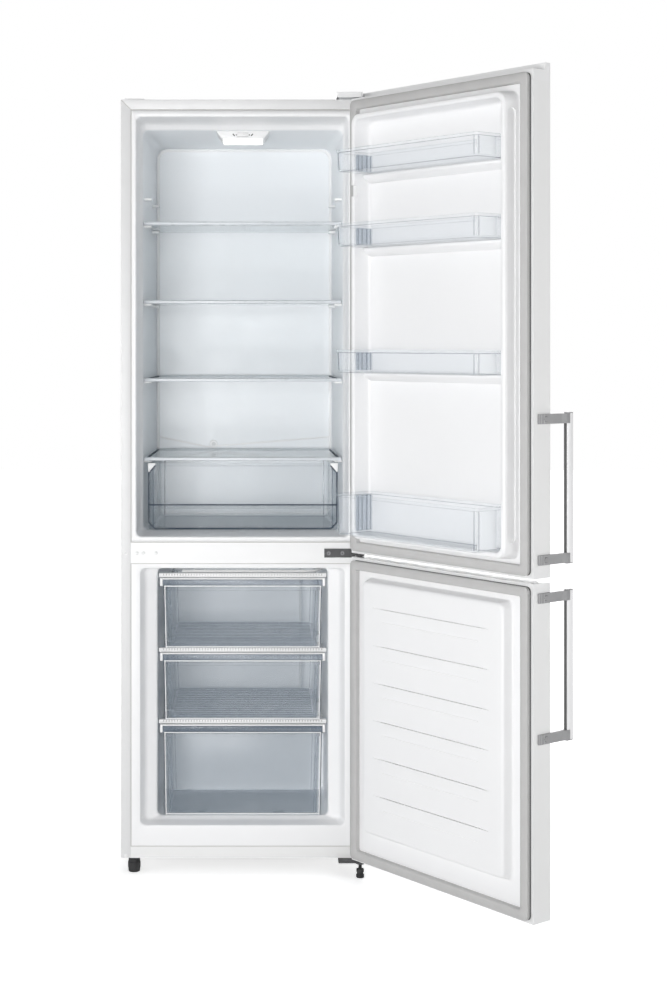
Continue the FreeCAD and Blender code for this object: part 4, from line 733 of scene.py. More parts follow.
def make_fridge_door_liner():
    """Flange, standing rim and well, with a long groove in the rim's outside and a notch in its crest."""
    half, bottom, top, corner = RIM_BASE[:4]
    flange = door_flange("fridge_door")
    crest_out = (half - RIM_LEAN, bottom + RIM_LEAN, top - RIM_LEAN, corner, RIM_CREST_Y)
    crest_in = inset_section(crest_out, RIM_WIDTH)
    well = inset_section(at_depth(crest_in, WELL_Y), WELL_DRAFT)
    sections = [at_depth(flange, WELL_Y - LINER_WALL), flange, RIM_BASE, crest_out, crest_in, well,
                inset_section(well, WELL_SPREAD)]
    liner = piece("fridge_door_liner_form", formed(sections, RIM_BENDS, cap_first=True), [LINER],
                  "fridge_door", "liner_plastic", ["fridge_door_liner", "fridge_door_foam"], shut=True)

    # The groove's cutter starts three depths outside the rim and ends one depth inside it
    middle_y = (DOOR_INNER + RIM_CREST_Y) / 2
    cutter_x = -(half - RIM_LEAN / 2) - GROOVE_DEPTH * 3
    groove = rounded_loop(middle_y - GROOVE_HALF, middle_y + GROOVE_HALF, GROOVE_BOTTOM, GROOVE_TOP,
                          GROOVE_ROUND, lambda u, v: Vector((cutter_x, u, v)))
    cutter = bmesh.new()
    prism(cutter, groove, (GROOVE_DEPTH * 4, 0, 0))
    low, high = NOTCH
    block(cutter, (LEDGE_HALF - RIM_WIDTH, RIM_CREST_Y - NOTCH_DEPTH, low), (half, RIM_CREST_Y * 2, high))
    carve(liner, cutter, SWING_TO_ROW)


def make_ledges():
    """Wedges across the door's well that carry the three upper balconies."""
    back_y = WELL_Y - SEAM
    front_y = WELL_Y + LEDGE_DEPTH
    bm = bmesh.new()
    for name in BALCONIES[:3]:
        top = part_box(name)[0].z - SEAM / 2
        profile = [(back_y, top), (front_y, top), (front_y, top - LEDGE_NOSE), (back_y, top - LEDGE_HEIGHT)]
        bar(bm, LEDGE_HALF, profile, LEDGE_BEVEL)
    piece("fridge_door_ledges", bm, [LINER], "fridge_door", "liner_plastic", shut=True)


GASKET_INSET = 6.5 * MM
GASKET_CORNER = 10 * MM
GASKET_SMOOTH_DEG = 50
# Distance inward from the seal's outer edge, and depth
GASKET_PROFILE = mm((0, -12), (2.6, -10.2), (0.4, -8.4), (2.6, -6.6), (0.3, -4.6), (0, -2), (1.2, -0.5),
                    (17, -0.5), (19.4, -1.4), (20, -3), (20, -12))
# Bands painted near-black as the shade inside the bellows' folds
GASKET_SHADED_PLEATS = (0, 1, 3)


def make_gasket(door):
    """Magnetic seal: pleated bellows under a flat sealing face, with the bellows' folds painted dark as shade."""
    bottom, top = DOORS[door]
    loops = []
    for across, y in GASKET_PROFILE:
        edge = GASKET_INSET + across
        loops.append(front_loop((HALF - edge, bottom + edge, top - edge, GASKET_CORNER - across / 4, y)))
    bm = bmesh.new()
    bands = loft(bm, loops, closed=True)
    for index in GASKET_SHADED_PLEATS:
        paint(bands[index], 1)
    piece(door + "_gasket_form", bm, [SEAL, SEAL_SHADE], door, "seal_grey", [door + "_gasket"], shut=True,
          smooth=GASKET_SMOOTH_DEG)


PANEL_BASE = mm(219, 117, 680, 14) + (DOOR_INNER,)
PANEL_DRAFT = 5 * MM
PANEL_CREST = 12 * MM
PANEL_SPREAD = 20 * MM
PANEL_BENDS = mm(0.3, 5, 7)
BAND_TOP = 621 * MM
BAND_PITCH = 82 * MM
BAND_COUNT = 6
BAND_HEIGHT = 29 * MM
BAND_HALF = 175 * MM
CREASE_TALL = 2.4 * MM
CREASE_DEPTH = 5 * MM
CREASE_FADE = 30 * MM
CREASE_BEAD_TALL = 2.4 * MM
CREASE_BEAD_PROUD = 0.8 * MM


def make_freezer_door_liner():
    """Flange and raised panel with pressed bands: a groove that fades at its ends above, a bead below in a lighter
    liner as a painted highlight.
    """
    flange = door_flange("freezer_door")
    half, bottom, top = inset_section(PANEL_BASE, PANEL_DRAFT)[:3]
    crest = (half, bottom, top, PANEL_BASE[3], PANEL_CREST)
    sections = [at_depth(flange, DOOR_INNER - LINER_WALL), flange, PANEL_BASE, crest,
                inset_section(crest, PANEL_SPREAD)]
    liner = piece("freezer_door_liner_form", formed(sections, PANEL_BENDS, cap_first=True), [LINER],
                  "freezer_door", "liner_plastic", ["freezer_door_liner", "freezer_door_foam"], shut=True)

    cutter = bmesh.new()
    beads = bmesh.new()
    fade = BAND_HALF - CREASE_FADE
    proud_y = PANEL_CREST + SEAM
    root_y = PANEL_CREST - SEAM
    for index in range(BAND_COUNT):
        top = BAND_TOP - index * BAND_PITCH
        low = top - CREASE_TALL
        loops = []
        for x, depth in ((-BAND_HALF, SEAM), (-fade, CREASE_DEPTH), (fade, CREASE_DEPTH), (BAND_HALF, SEAM)):
            floor_y = PANEL_CREST - depth
            corners = ((proud_y, top), (floor_y, top), (floor_y, low), (proud_y, low))
            loops.append([Vector((x, y, z)) for y, z in corners])
        loft(cutter, loops, cap_first=True, cap_last=True)
        head = top - BAND_HEIGHT
        bar(beads, fade, [(root_y, head), (PANEL_CREST + CREASE_BEAD_PROUD, head - CREASE_BEAD_TALL / 2),
                          (root_y, head - CREASE_BEAD_TALL)])
    # The beads are lighter than the panel: a painted highlight
    piece("freezer_door_beads", beads, [LINER_HIGHLIGHT], "freezer_door", "liner_plastic", shut=True)
    carve(liner, cutter, SWING_TO_ROW)


# Clear bins
TUB_STEP = 1.5 * MM
TUB_FOOT = 4 * MM
TUB_LIP = 7 * MM
TUB_ROUND = 1 * MM
TUB_SHADED_EDGES = (0, 3, 5)
LINE_PROUD = 0.2 * MM


def tub(bm, plan, bottom, top, draft, wall):
    """Open bin: outer walls with draft, a turned-out lip, inner walls and floor. Its edges and lines at its outer
    corners take material 1, dark as painted shade.

    plan is the half width at the front and rear, the front, the rear and the corner radius.
    """
    half, rear_half, front, rear, corner = plan
    inner = corner - wall
    neck = top - TUB_LIP
    floor = bottom + wall
    sections = (
        (draft + TUB_FOOT, corner, bottom),
        (draft + TUB_FOOT / 4, corner, bottom + TUB_FOOT / 4),
        (draft, corner, bottom + TUB_FOOT),
        (TUB_STEP, corner, neck),
        (0, corner, neck + TUB_STEP / 2),
        (0, corner, top),
        (wall + TUB_STEP, inner, top),
        (wall + TUB_STEP, inner, neck),
        (draft + wall, inner, floor + TUB_FOOT),
        (draft + wall + TUB_FOOT, inner, floor),
    )
    loops = []
    for inset, radius, z in sections:
        loops.append(plan_loop((half - inset, rear_half - inset, front + inset, rear - inset,
                                max(radius, TUB_ROUND), z)))
    bands = loft(bm, loops, cap_first=True, cap_last=True)
    # Edges and corner lines painted dark as shade
    for index in TUB_SHADED_EDGES:
        paint(bands[index], 1)
    walls = bands[2]
    for start in range(0, len(walls), CORNER_STEPS + 1):
        paint((walls[start], walls[start + CORNER_STEPS - 1]), 1)


BALCONY_HALF = 216 * MM
BALCONY_BACK = -14 * MM
BALCONY_FRONT = 88 * MM
BALCONY_CORNER = 8 * MM
BALCONY_DRAFT = 3 * MM
BALCONY_WALL = 2.5 * MM
HOOK_DEPTH = 46 * MM
HOOK_THICK = 5 * MM
HOOK_BEVEL = 1 * MM
HOOK_RIBS = (0.06, 0.34, 0.66, 0.94)
HOOK_RIB = 2 * MM
LIT_END_FROM = 26 * MM
LIT_END_THICK = 0.8 * MM


def make_balcony(name):
    """Door bin with a thicker ribbed hook at the hinge end, next to the door, and a whitish sheet at the free end:
    painted light on the lit end wall.
    """
    low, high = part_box(name)
    bm = bmesh.new()
    tub(bm, (BALCONY_HALF, BALCONY_HALF, BALCONY_BACK, BALCONY_FRONT, BALCONY_CORNER), low.z, high.z,
        BALCONY_DRAFT, BALCONY_WALL)
    outer = BALCONY_HALF - BALCONY_DRAFT - BALCONY_WALL
    foot = low.z + BALCONY_WALL * 2
    head = high.z - TUB_LIP
    back = BALCONY_BACK + BALCONY_WALL * 2
    front = BALCONY_BACK + HOOK_DEPTH
    inner = outer - HOOK_THICK
    block(bm, (inner, back, foot), (outer, front, head), HOOK_BEVEL, 2)
    # The hook's ribs are drawn as dark lines of painted shade
    for share in HOOK_RIBS:
        y = back + (front - back) * share
        block(bm, (inner - SEAM, y - HOOK_RIB / 2, foot), (inner + SEAM, y + HOOK_RIB / 2, head), material=1)
    # Whitish sheet at the free end: painted light
    lit_end_to = BALCONY_FRONT - BALCONY_CORNER
    block(bm, (-outer, LIT_END_FROM, foot), (LIT_END_THICK - outer, lit_end_to, head), material=3)
    piece(name + "_form", bm, [CLEAR, CLEAR_SHADED_EDGE, CLEAR_HOOK, CLEAR_PAINTED_LIGHT], name, "clear_plastic", [name],
          shut=True)


CRISPER_HALF = 221 * MM
CRISPER_REAR_HALF = 211 * MM
CRISPER_FRONT = 96 * MM
CRISPER_REAR = 405 * MM
CRISPER_CORNER = 14 * MM
CRISPER_DRAFT = 1 * MM
CRISPER_GRIP = mm(816, 821)
CRISPER_GRIP_PROUD = 6 * MM
CRISPER_GRIP_SUNK = 1 * MM
CRISPER_GRIP_BEVEL = 1 * MM
CRISPER_LINE = 3 * MM
CRISPER_LINE_INSET = 3 * MM
CRISPER_LINE_DEPTH = 2 * MM
CLIP_TOP_WIDTH = 16.8 * MM
CLIP_FOOT_WIDTH = 4.8 * MM
CLIP_SHOULDER = 6 * MM
CLIP_TALL = 20.4 * MM
CLIP_INSET = 1 * MM
CLIP_DEPTH = 4 * MM
CLIP_BEVEL = 0.8 * MM


def make_crisper():
    """Vegetable bin: clear tub with a grip, white corner clips, and near-black lines of painted shade along its
    edges, above the grip and along the clips.
    """
    low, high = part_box("crisper_bin")
    bm = bmesh.new()

    # Lines drawn near-black: painted shade
    def line(start, end, face_y=CRISPER_FRONT):
        flat_line(bm, start, end, face_y - LINE_PROUD, CRISPER_LINE, CRISPER_LINE_DEPTH, 2)

    tub(bm, (CRISPER_HALF, CRISPER_REAR_HALF, CRISPER_FRONT, CRISPER_REAR, CRISPER_CORNER), low.z, high.z,
        CRISPER_DRAFT, BALCONY_WALL)
    grip_low, grip_high = CRISPER_GRIP
    grip_half = CRISPER_HALF - CRISPER_CORNER
    block(bm, (-grip_half, CRISPER_FRONT - CRISPER_GRIP_PROUD, grip_low),
          (grip_half, CRISPER_FRONT + CRISPER_GRIP_SUNK, grip_high), CRISPER_GRIP_BEVEL)
    edge = CRISPER_HALF - CRISPER_LINE_INSET
    bend = edge - CRISPER_CORNER
    foot = low.z + CRISPER_LINE
    clip_y = CRISPER_FRONT - CLIP_INSET
    clip_foot = high.z - CLIP_TALL
    shoulder = high.z - CLIP_SHOULDER
    line((-edge, grip_high + CRISPER_LINE), (edge, grip_high + CRISPER_LINE))
    line((-bend, foot), (bend, foot))
    for side in (-1, 1):
        line((side * edge, foot + CRISPER_CORNER), (side * edge, clip_foot))
        line((side * edge, foot + CRISPER_CORNER), (side * bend, foot))
        outer = side * (CRISPER_HALF - CLIP_INSET)
        inner = outer - side * CLIP_TOP_WIDTH
        slant = outer - side * CLIP_FOOT_WIDTH
        outline = [(outer, high.z), (inner, high.z), (inner, shoulder), (slant, clip_foot),
                   (outer, clip_foot)]
        plate(bm, outline, clip_y, CLIP_DEPTH, CLIP_BEVEL, 3)
        line((inner, shoulder), (slant, clip_foot), clip_y)
    piece("crisper_bin_form", bm, [CRISPER_CLEAR, CLEAR_SHADED_EDGE, CLEAR_SHADE_LINE, WHITE_PLASTIC], "crisper_bin",
          "clear_plastic", ["crisper_bin"])


DRAWER_HALF = 189 * MM
DRAWER_DRAFT = 6 * MM
DRAWER_FRONT = 46 * MM
DRAWER_BEVEL = 1 * MM
DRAWER_CLIP = 6 * MM
PANEL_DEPTH = 14 * MM
PANEL_SHEET = 2.5 * MM
PANEL_HALF = 180 * MM
PANEL_FOOT = 177 * MM
TRAY_HALF = 177 * MM
TRAY_CORNER = 10 * MM
TRAY_DROP = 22 * MM
TRAY_RIBS = 16
TRAY_RIB = 1.6 * MM
GRIP_BAND = 18 * MM
GRIP_BEVEL = 2 * MM
TOP_HIGHLIGHT = 3 * MM
EDGE_LINE = 2 * MM


def make_drawer(name):
    """Freezer drawer: clear front with a grip band and white clips, and the tray behind it. A white strip along
    the top and white lines along the front's edges are painted highlights; dark lines at its sides and the tray's
    edges and ribs are painted shade.

    All trays but the bottom drawer's have a ribbed floor.
    """
    low, high = drawn_box(name)
    front = DRAWER_FRONT
    inner_y = front + PANEL_DEPTH
    band_low = high.z - GRIP_BAND
    highlight_low = high.z - TOP_HIGHLIGHT
    band_half = DRAWER_HALF - DRAWER_CLIP
    bm = bmesh.new()

    # Lines are white by default: painted highlights along the front's edges
    def line(start, end, depth=PANEL_SHEET, material=3):
        flat_line(bm, start, end, front - LINE_PROUD, EDGE_LINE, depth, material)

    sheet = [(-PANEL_FOOT, low.z), (PANEL_FOOT, low.z), (PANEL_HALF, band_low), (-PANEL_HALF, band_low)]
    plate(bm, sheet, front, PANEL_SHEET, DRAWER_BEVEL)
    block(bm, (-band_half, front, band_low), (band_half, inner_y, highlight_low), GRIP_BEVEL, 1)
    # White strip along the top: a painted highlight
    block(bm, (-band_half, front, highlight_low), (band_half, inner_y, high.z), DRAWER_BEVEL, 3)
    line((-PANEL_HALF, band_low), (PANEL_HALF, band_low))
    line((-PANEL_FOOT, low.z + EDGE_LINE), (PANEL_FOOT, low.z + EDGE_LINE))
    for side in (-1, 1):
        x0, x1 = sorted((side * DRAWER_HALF, side * band_half))
        block(bm, (x0, front, band_low), (x1, inner_y, high.z), DRAWER_BEVEL, 3)
        # White line along each side: a painted highlight
        line((side * (PANEL_FOOT - EDGE_LINE), low.z), (side * (PANEL_HALF - EDGE_LINE), band_low))
        # Dark line at each side: painted shade
        line((side * PANEL_FOOT, low.z), (side * PANEL_HALF, band_low), PANEL_DEPTH, 2)
    tub(bm, (TRAY_HALF, TRAY_HALF, front + PANEL_SHEET, high.y, TRAY_CORNER), low.z, high.z - TRAY_DROP,
        DRAWER_DRAFT, PANEL_SHEET)
    rib_half = TRAY_HALF - DRAWER_DRAFT - TRAY_CORNER
    floor = low.z + PANEL_SHEET
    ribs = 0 if name == DRAWERS[-1] else TRAY_RIBS
    # Ribs in the darker band plastic: painted shade along them
    for index in range(ribs):
        y = inner_y + (high.y - front - 2 * PANEL_DEPTH) * index / (TRAY_RIBS - 1)
        block(bm, (-rib_half, y - TRAY_RIB / 2, floor), (rib_half, y + TRAY_RIB / 2, floor + TRAY_RIB),
              material=1)
    piece(name + "_form", bm, [DRAWER_CLEAR, DRAWER_BAND_AND_EDGE_SHADE, CLEAR_SHADE_LINE, WHITE_PLASTIC], name, "clear_plastic",
          [name])


SHELVES = ("top_shelf", "middle_shelf", "lower_shelf", "crisper_cover")
TRIM_DEPTH = 16 * MM
TRIM_LIP = 2.5 * MM
TRIM_LIP_FALL = 1 * MM
TRIM_BEVEL = 0.4 * MM
GLASS_PLAY = 0.1 * MM
# Corners cut off the nose at its foot and head: along Y and Z
NOSE_FOOT = mm(2, 1.5)
NOSE_HEAD = mm(3, 2)
STOP_SLANT = 1 * MM
SIDE_LINE = 4 * MM


def make_shelf_trim(name):
    """Rounded front edge and rear stop of a glass shelf, with dark lines of painted shade along its sides."""
    low, high = drawn_box(name + "_trim")
    glass_low, glass_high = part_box(name + "_glass")
    half = (high.x - low.x) / 2
    rear_half = (glass_high.x - glass_low.x) / 2 - TRIM_DEPTH / 2
    front = low.y
    seat_y = front + TRIM_DEPTH / 2
    inner_y = front + TRIM_DEPTH
    stop_y = high.y - TRIM_DEPTH
    under = glass_low.z - GLASS_PLAY
    over = glass_high.z
    lip_top = over + TRIM_LIP
    bm = bmesh.new()
    nose = [(front, low.z + NOSE_FOOT[1]), (front + NOSE_FOOT[0], low.z), (inner_y, low.z), (inner_y, under),
            (seat_y, under), (seat_y, over), (inner_y, over), (inner_y, lip_top - TRIM_LIP_FALL),
            (front + NOSE_HEAD[0], lip_top), (front, lip_top - NOSE_HEAD[1])]
    bar(bm, half, nose, TRIM_BEVEL)
    stop = [(stop_y, over), (high.y, over), (high.y, lip_top), (stop_y + STOP_SLANT, lip_top)]
    bar(bm, rear_half, stop, TRIM_BEVEL)
    # Dark lines along the shelf's sides: painted shade
    for side in (-1, 1):
        head = side * (half - SIDE_LINE)
        tail = side * (rear_half - SIDE_LINE)
        width = side * SIDE_LINE
        outline = [(head, inner_y), (head - width, inner_y), (tail - width, stop_y), (tail, stop_y)]
        prism(bm, [(x, y, over) for x, y in outline], (0, 0, SIDE_LINE / 3), material=1)
    piece(name + "_trim_form", bm, [TRIM, CLEAR_SHADE_LINE], name, "white_plastic", [name + "_trim"])


# Thermostat and lamp
HOUSING_TOP_HALF = 62 * MM
HOUSING_BOTTOM_HALF = 48.5 * MM
HOUSING_FRONT = 90 * MM
HOUSING_LENGTH = 110 * MM
HOUSING_BEVEL = 1.5 * MM
DIAL_R = 26 * MM
DIAL_PROUD = 3 * MM
DIAL_Y = HOUSING_FRONT - DIAL_PROUD + DIAL_R
DIAL_TEETH = 40
DIAL_TOOTH_STEPS = 4
DIAL_NOTCH = 0.7 * MM
DIAL_BEVEL = 1.2 * MM
DIAL_SLOT_STEPS = 96
# Place across the housing, lean in degrees and half length
TICKS = (
    (-21 * MM, -42, 3.2 * MM),
    (-15 * MM, -20, 1.3 * MM),
    (15 * MM, 20, 1.3 * MM),
    (21 * MM, 42, 3.2 * MM),
)
TICK_WIDTH = 2.4 * MM
TICK_PROUD = 0.3 * MM
TICK_THICK = 0.6 * MM
LAMP_BEVEL = 1 * MM


def make_control_housing():
    """Thermostat housing with the slot that the dial turns in."""
    low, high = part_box("control_housing")
    dial_low, dial_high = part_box("thermostat_dial")
    bm = bmesh.new()
    outline = [(-HOUSING_BOTTOM_HALF, low.z), (HOUSING_BOTTOM_HALF, low.z), (HOUSING_TOP_HALF, high.z),
               (-HOUSING_TOP_HALF, high.z)]
    plate(bm, outline, HOUSING_FRONT, HOUSING_LENGTH, HOUSING_BEVEL)
    housing = piece("control_housing_form", bm, [WHITE_PLASTIC], "cabinet", "white_plastic",
                    ["control_housing"])
    cutter = bmesh.new()
    slot = [(DIAL_R + SEAM, dial_low.z - SEAM), (DIAL_R + SEAM, dial_high.z + SEAM)]
    turned(cutter, slot, (0, DIAL_Y, 0), steps=DIAL_SLOT_STEPS)
    carve(housing, cutter, TO_ROW)


def make_dial():
    """Serrated thermostat dial: each tooth is half notch and half crest."""
    low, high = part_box("thermostat_dial")
    levels = ((DIAL_BEVEL, low.z), (0, low.z + DIAL_BEVEL), (0, high.z - DIAL_BEVEL), (DIAL_BEVEL, high.z))
    steps = DIAL_TOOTH_STEPS * DIAL_TEETH
    loops = []
    for shrink, z in levels:
        loop = []
        for step in range(steps):
            turn = 2 * math.pi * step / steps
            notch = DIAL_NOTCH if step % DIAL_TOOTH_STEPS < DIAL_TOOTH_STEPS / 2 else 0
            radius = DIAL_R - shrink - notch
            loop.append(Vector((radius * math.cos(turn), DIAL_Y + radius * math.sin(turn), z)))
        loops.append(loop)
    bm = bmesh.new()
    loft(bm, loops, cap_first=True, cap_last=True)
    piece("thermostat_dial_form", bm, [WHITE_PLASTIC], "thermostat_dial", "white_plastic",
          ["thermostat_dial"])


def make_scale():
    """Printed dots and dashes beside the dial, which lean outward."""
    low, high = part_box("control_housing")
    middle_z = (low.z + high.z) / 2
    bm = bmesh.new()
    for x, lean, reach in TICKS:
        across = reach * math.sin(math.radians(lean))
        rise = reach * math.cos(math.radians(lean))
        flat_line(bm, (x - across, middle_z - rise), (x + across, middle_z + rise),
                  HOUSING_FRONT - TICK_PROUD, TICK_WIDTH, TICK_THICK)
    piece("control_scale", bm, [INK], "cabinet", "black_plastic")


def make_lamp():
    """Lit cover of the lamp."""
    bm = bmesh.new()
    block(bm, *drawn_box("lamp_diffuser"), LAMP_BEVEL)
    piece("lamp_diffuser_form", bm, [LAMP], "cabinet", "lamp", ["lamp_diffuser"])


# Handles
BAR_LEFT = -282 * MM
BAR_RIGHT = -272 * MM
BAR_FRONT = -123 * MM
BAR_BACK = -103 * MM
BAR_ROUND = 3 * MM
BAR_BEVEL = 1 * MM
BAR_CAP = 2 * MM
BAR_INNER_FACING = 0.7
BRACKET_THICK = 5 * MM
BRACKET_BACK = -24 * MM
BRACKET_HEIGHT = 20 * MM
BRACKET_END = 2 * MM
BRACKET_WRAP = 9.5 * MM
BRACKET_SEAT = 2 * MM
BRACKET_INNER_BEND = 10 * MM
BRACKET_OUTER_BEND = 12 * MM
BRACKET_CHAMFER = mm(2, 1)
BRACKET_BEVEL = 0.6 * MM
BRACKET_HIGHLIGHT_LINES = mm(-30, -39)
PLUG_FORWARD = 20 * MM
PLUG_SUNK = 0.5 * MM
PLUG = mm((5, 0), (5, -1.6), (4.2, -2.2))
PLUG_RING = mm((5.75, 0), (5.75, -0.9))


def make_handle_bar(door):
    """Silver bar with a dark inner face and end caps."""
    low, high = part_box(door + "_handle_bar")
    ends = ((BAR_BEVEL, 0), (0, BAR_BEVEL), (0, BAR_CAP))
    stations = [(inset, low.z + rise) for inset, rise in ends]
    stations += [(inset, high.z - rise) for inset, rise in reversed(ends)]
    loops = []
    for inset, z in stations:
        loops.append(rounded_loop(BAR_LEFT + inset, BAR_RIGHT - inset, BAR_FRONT + inset, BAR_BACK - inset,
                                  BAR_ROUND - inset, lambda u, v: Vector((u, v, z))))
    bm = bmesh.new()
    loft(bm, loops, cap_first=True, cap_last=True)
    bmesh.ops.recalc_face_normals(bm, faces=bm.faces)
    for face in bm.faces:
        height = face.calc_center_median().z
        if not low.z + BAR_CAP < height < high.z - BAR_CAP:
            face.material_index = 2
        elif face.normal.y > BAR_INNER_FACING:
            face.material_index = 1
    piece(door + "_handle_bar_form", bm, [SILVER, BAR_INNER, BRACKET], door, "silver", [door + "_handle_bar"],
          shut=True)


def make_brackets(door):
    """Grey arms that hold the bar, each screwed to the door's edge under a plug, with two lighter lines on the
    outer face as a painted highlight.
    """
    low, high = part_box(door + "_handle_bar")
    outer = -HALF - BRACKET_THICK
    bar_inside = BAR_RIGHT + SEAM
    bar_outside = BAR_LEFT - SEAM
    chamfer_x, chamfer_y = BRACKET_CHAMFER
    outline = [(-HALF, BRACKET_BACK), (-HALF, BAR_BACK + BRACKET_INNER_BEND),
               (bar_inside, BAR_BACK + BRACKET_SEAT), (bar_inside, BAR_BACK - BRACKET_SEAT),
               (bar_outside, BAR_BACK - BRACKET_WRAP), (bar_outside, BAR_BACK + BRACKET_SEAT),
               (outer, BAR_BACK + BRACKET_OUTER_BEND), (outer, BRACKET_BACK - chamfer_y),
               (outer + chamfer_x, BRACKET_BACK)]
    bm = bmesh.new()
    for z in (low.z + BRACKET_END, high.z - BRACKET_END - BRACKET_HEIGHT):
        prism(bm, [(x, y, z) for x, y in outline], (0, 0, BRACKET_HEIGHT), BRACKET_BEVEL)
        # Lighter lines on the outer face: a painted highlight
        for y in BRACKET_HIGHLIGHT_LINES:
            block(bm, (outer - SEAM, y - SEAM, z + SEAM), (outer + SEAM, y + SEAM, z + BRACKET_HEIGHT - SEAM),
                  material=1)
        plug_at = (outer + PLUG_SUNK, BRACKET_BACK - PLUG_FORWARD, z + BRACKET_HEIGHT / 2)
        turned(bm, PLUG_RING, plug_at, "X", material=2)
        turned(bm, PLUG, plug_at, "X")
    piece(door + "_handle_brackets_form", bm, [BRACKET, BRACKET_HIGHLIGHT, BAR_INNER], door, "bracket_grey",
          [door + "_handle_brackets"], shut=True)


# Feet, screws and plugs
THREAD_R = 4 * MM
THREAD_ROOT = 3.4 * MM
THREAD_FROM = 22 * MM
THREAD_STEP = 0.7 * MM
THREAD_EDGES = 13
FOOT_TOP = 35 * MM
LEFT_FOOT = mm((12.2, 0), (13, 0.8), (13.6, 6), (13.6, 9), (14.4, 9.6), (14.4, 22), (13.2, 23), (13.2, 29),
               (12, 31), (4, 31))
RIGHT_FOOT = mm((8.2, 0), (9, 0.8), (9.2, 7), (7.4, 8), (7.4, 12), (8.6, 13), (8.6, 19), (7.6, 20), (4, 20))
THREAD = tuple((THREAD_ROOT if edge % 2 else THREAD_R, THREAD_FROM + edge * THREAD_STEP)
               for edge in range(THREAD_EDGES))
FEET = {"front_left_foot": LEFT_FOOT, "front_right_foot": RIGHT_FOOT + THREAD}


def make_feet():
    """Broad left foot, and a slim right one whose thread shows."""
    for name, profile in FEET.items():
        low, high = drawn_box(name)
        middle = (low + high) / 2
        bm = bmesh.new()
        turned(bm, profile + ((THREAD_R, FOOT_TOP),), (middle.x, middle.y, 0))
        piece(name + "_form", bm, [BLACK_PLASTIC], name, "black_plastic", [name])


SCREW_X = mm(195, 226)
SCREW_Y = -4.5 * MM
SCREW_HEAD = mm((4.5, 2), (4.5, 1.2), (3.375, 0.3), (1.35, 0))
CROSS = mm(2.6, 0.5)
CROSS_PROUD = 0.1 * MM
CROSS_SUNK = 0.3 * MM


def make_screws():
    """Domed heads on the middle hinge's plate, each with a black cross where its recess is: painted shade."""
    z = (DOORS["fridge_door"][0] + DOORS["freezer_door"][1]) / 2
    bm = bmesh.new()
    for x in SCREW_X:
        turned(bm, SCREW_HEAD, (x, SCREW_Y, z), "Y")
        # A black cross where the recess is: painted shade
        for wide, tall in (CROSS, CROSS[::-1]):
            block(bm, (x - wide, SCREW_Y - CROSS_PROUD, z - tall), (x + wide, SCREW_Y + CROSS_SUNK, z + tall),
                  material=1)
    piece("middle_hinge_screw_heads", bm, [SCREW, RECESS_SHADE], "cabinet", "zinc_steel")


PLUG_OFFSETS = mm(14, 28, 57)
HOLE_PLUG_R = 4.5 * MM
# Share of the plug's radius, and height in millimetres
HOLE_PLUG = ((1, 0.4), (1, -0.5), (0.9, -0.7), (0.8, -0.7), (0.76, -0.5), (0.7, -0.9), (0.45, -1.7),
             (0.1, -2))
# Left, front, right and back
HOLE_COVER = mm(-267, 6, -222, 40)
HOLE_COVER_BEVEL = 1 * MM
SPARE_PIN = mm(-264.5, -28)
SPARE_PLUG = mm((6, -0.5), (6, 1.2), (5.2, 1.6), (4.2, 1.6), (4, 3), (3, 3.6))


def make_plugs():
    """Domed plugs in the mullion's and strip's spare holes, the cover on top and the lower door's plug."""
    mullion_mid = (MULLION_BOTTOM + MULLION_TOP) / 2
    low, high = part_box("hole_plugs")
    strip_x = -HALF + STRIP / 2
    spots = [(-FLANGE_HALF + offset, mullion_mid) for offset in PLUG_OFFSETS]
    spots += [(strip_x, mullion_mid), (strip_x, low.z + HOLE_PLUG_R)]
    profile = [(share * HOLE_PLUG_R, height * MM) for share, height in HOLE_PLUG]
    bm = bmesh.new()
    for x, z in spots:
        turned(bm, profile, (x, 0, z), "Y")
    left, front, right, back = HOLE_COVER
    block(bm, (left, front, CABINET_TOP), (right, back, high.z), HOLE_COVER_BEVEL)
    piece("hole_plugs_form", bm, [WHITE_PLASTIC], "cabinet", "white_plastic", ["hole_plugs"])

    bm = bmesh.new()
    turned(bm, SPARE_PLUG, (*SPARE_PIN, DOORS["freezer_door"][1]))
    piece("freezer_door_hole_plug", bm, [WHITE_PLASTIC], "freezer_door", "white_plastic", shut=True)


# Stage
WHITE = (1, 1, 1, 1)
SKY_COLOUR = (0.97, 0.985, 1, 1)
SKY_LIGHT = 0.26
FLOOR_SIZE = 12.0
FLOOR_COLOUR = (0.9, 0.9, 0.9)
FLOOR_ROUGHNESS = 0.8
# Distances between which the floor turns white, and its glow at each
FLOOR_FADE = (0.6, 3.0)
FLOOR_GLOW = (0.55, 1.0)
LIGHT_AIM = (0, 0, 0.9)
# Name, place, size and power
LIGHTS = (
    ("key", (-4.0, -1.8, 1.6), (2.2, 2.6), 42),
    ("fill", (3.4, -2.0, 1.4), (2.0, 2.4), 23),
    ("front", (-0.8, -4.5, 0.85), (2.0, 1.6), 101),
    ("back", (0.4, 4.4, 2.2), (2.6, 2.6), 90),
)


def make_camera():
    camera = bpy.data.cameras.new("camera")
    camera.sensor_fit = "AUTO"
    camera.sensor_width = SENSOR
    camera.lens = FOCAL_PX / IMAGE_HEIGHT * SENSOR
    camera.shift_x = (IMAGE_WIDTH / 2 - CENTRE_PX[0]) / IMAGE_HEIGHT
    camera.shift_y = (CENTRE_PX[1] - IMAGE_HEIGHT / 2) / IMAGE_HEIGHT
    holder = bpy.data.objects.new("camera", camera)
    holder.location = TO_ROW @ Vector(CAMERA_AT)
    holder.rotation_euler = (math.radians(90), 0, 0)
    bpy.context.scene.collection.objects.link(holder)
    bpy.context.scene.camera = holder


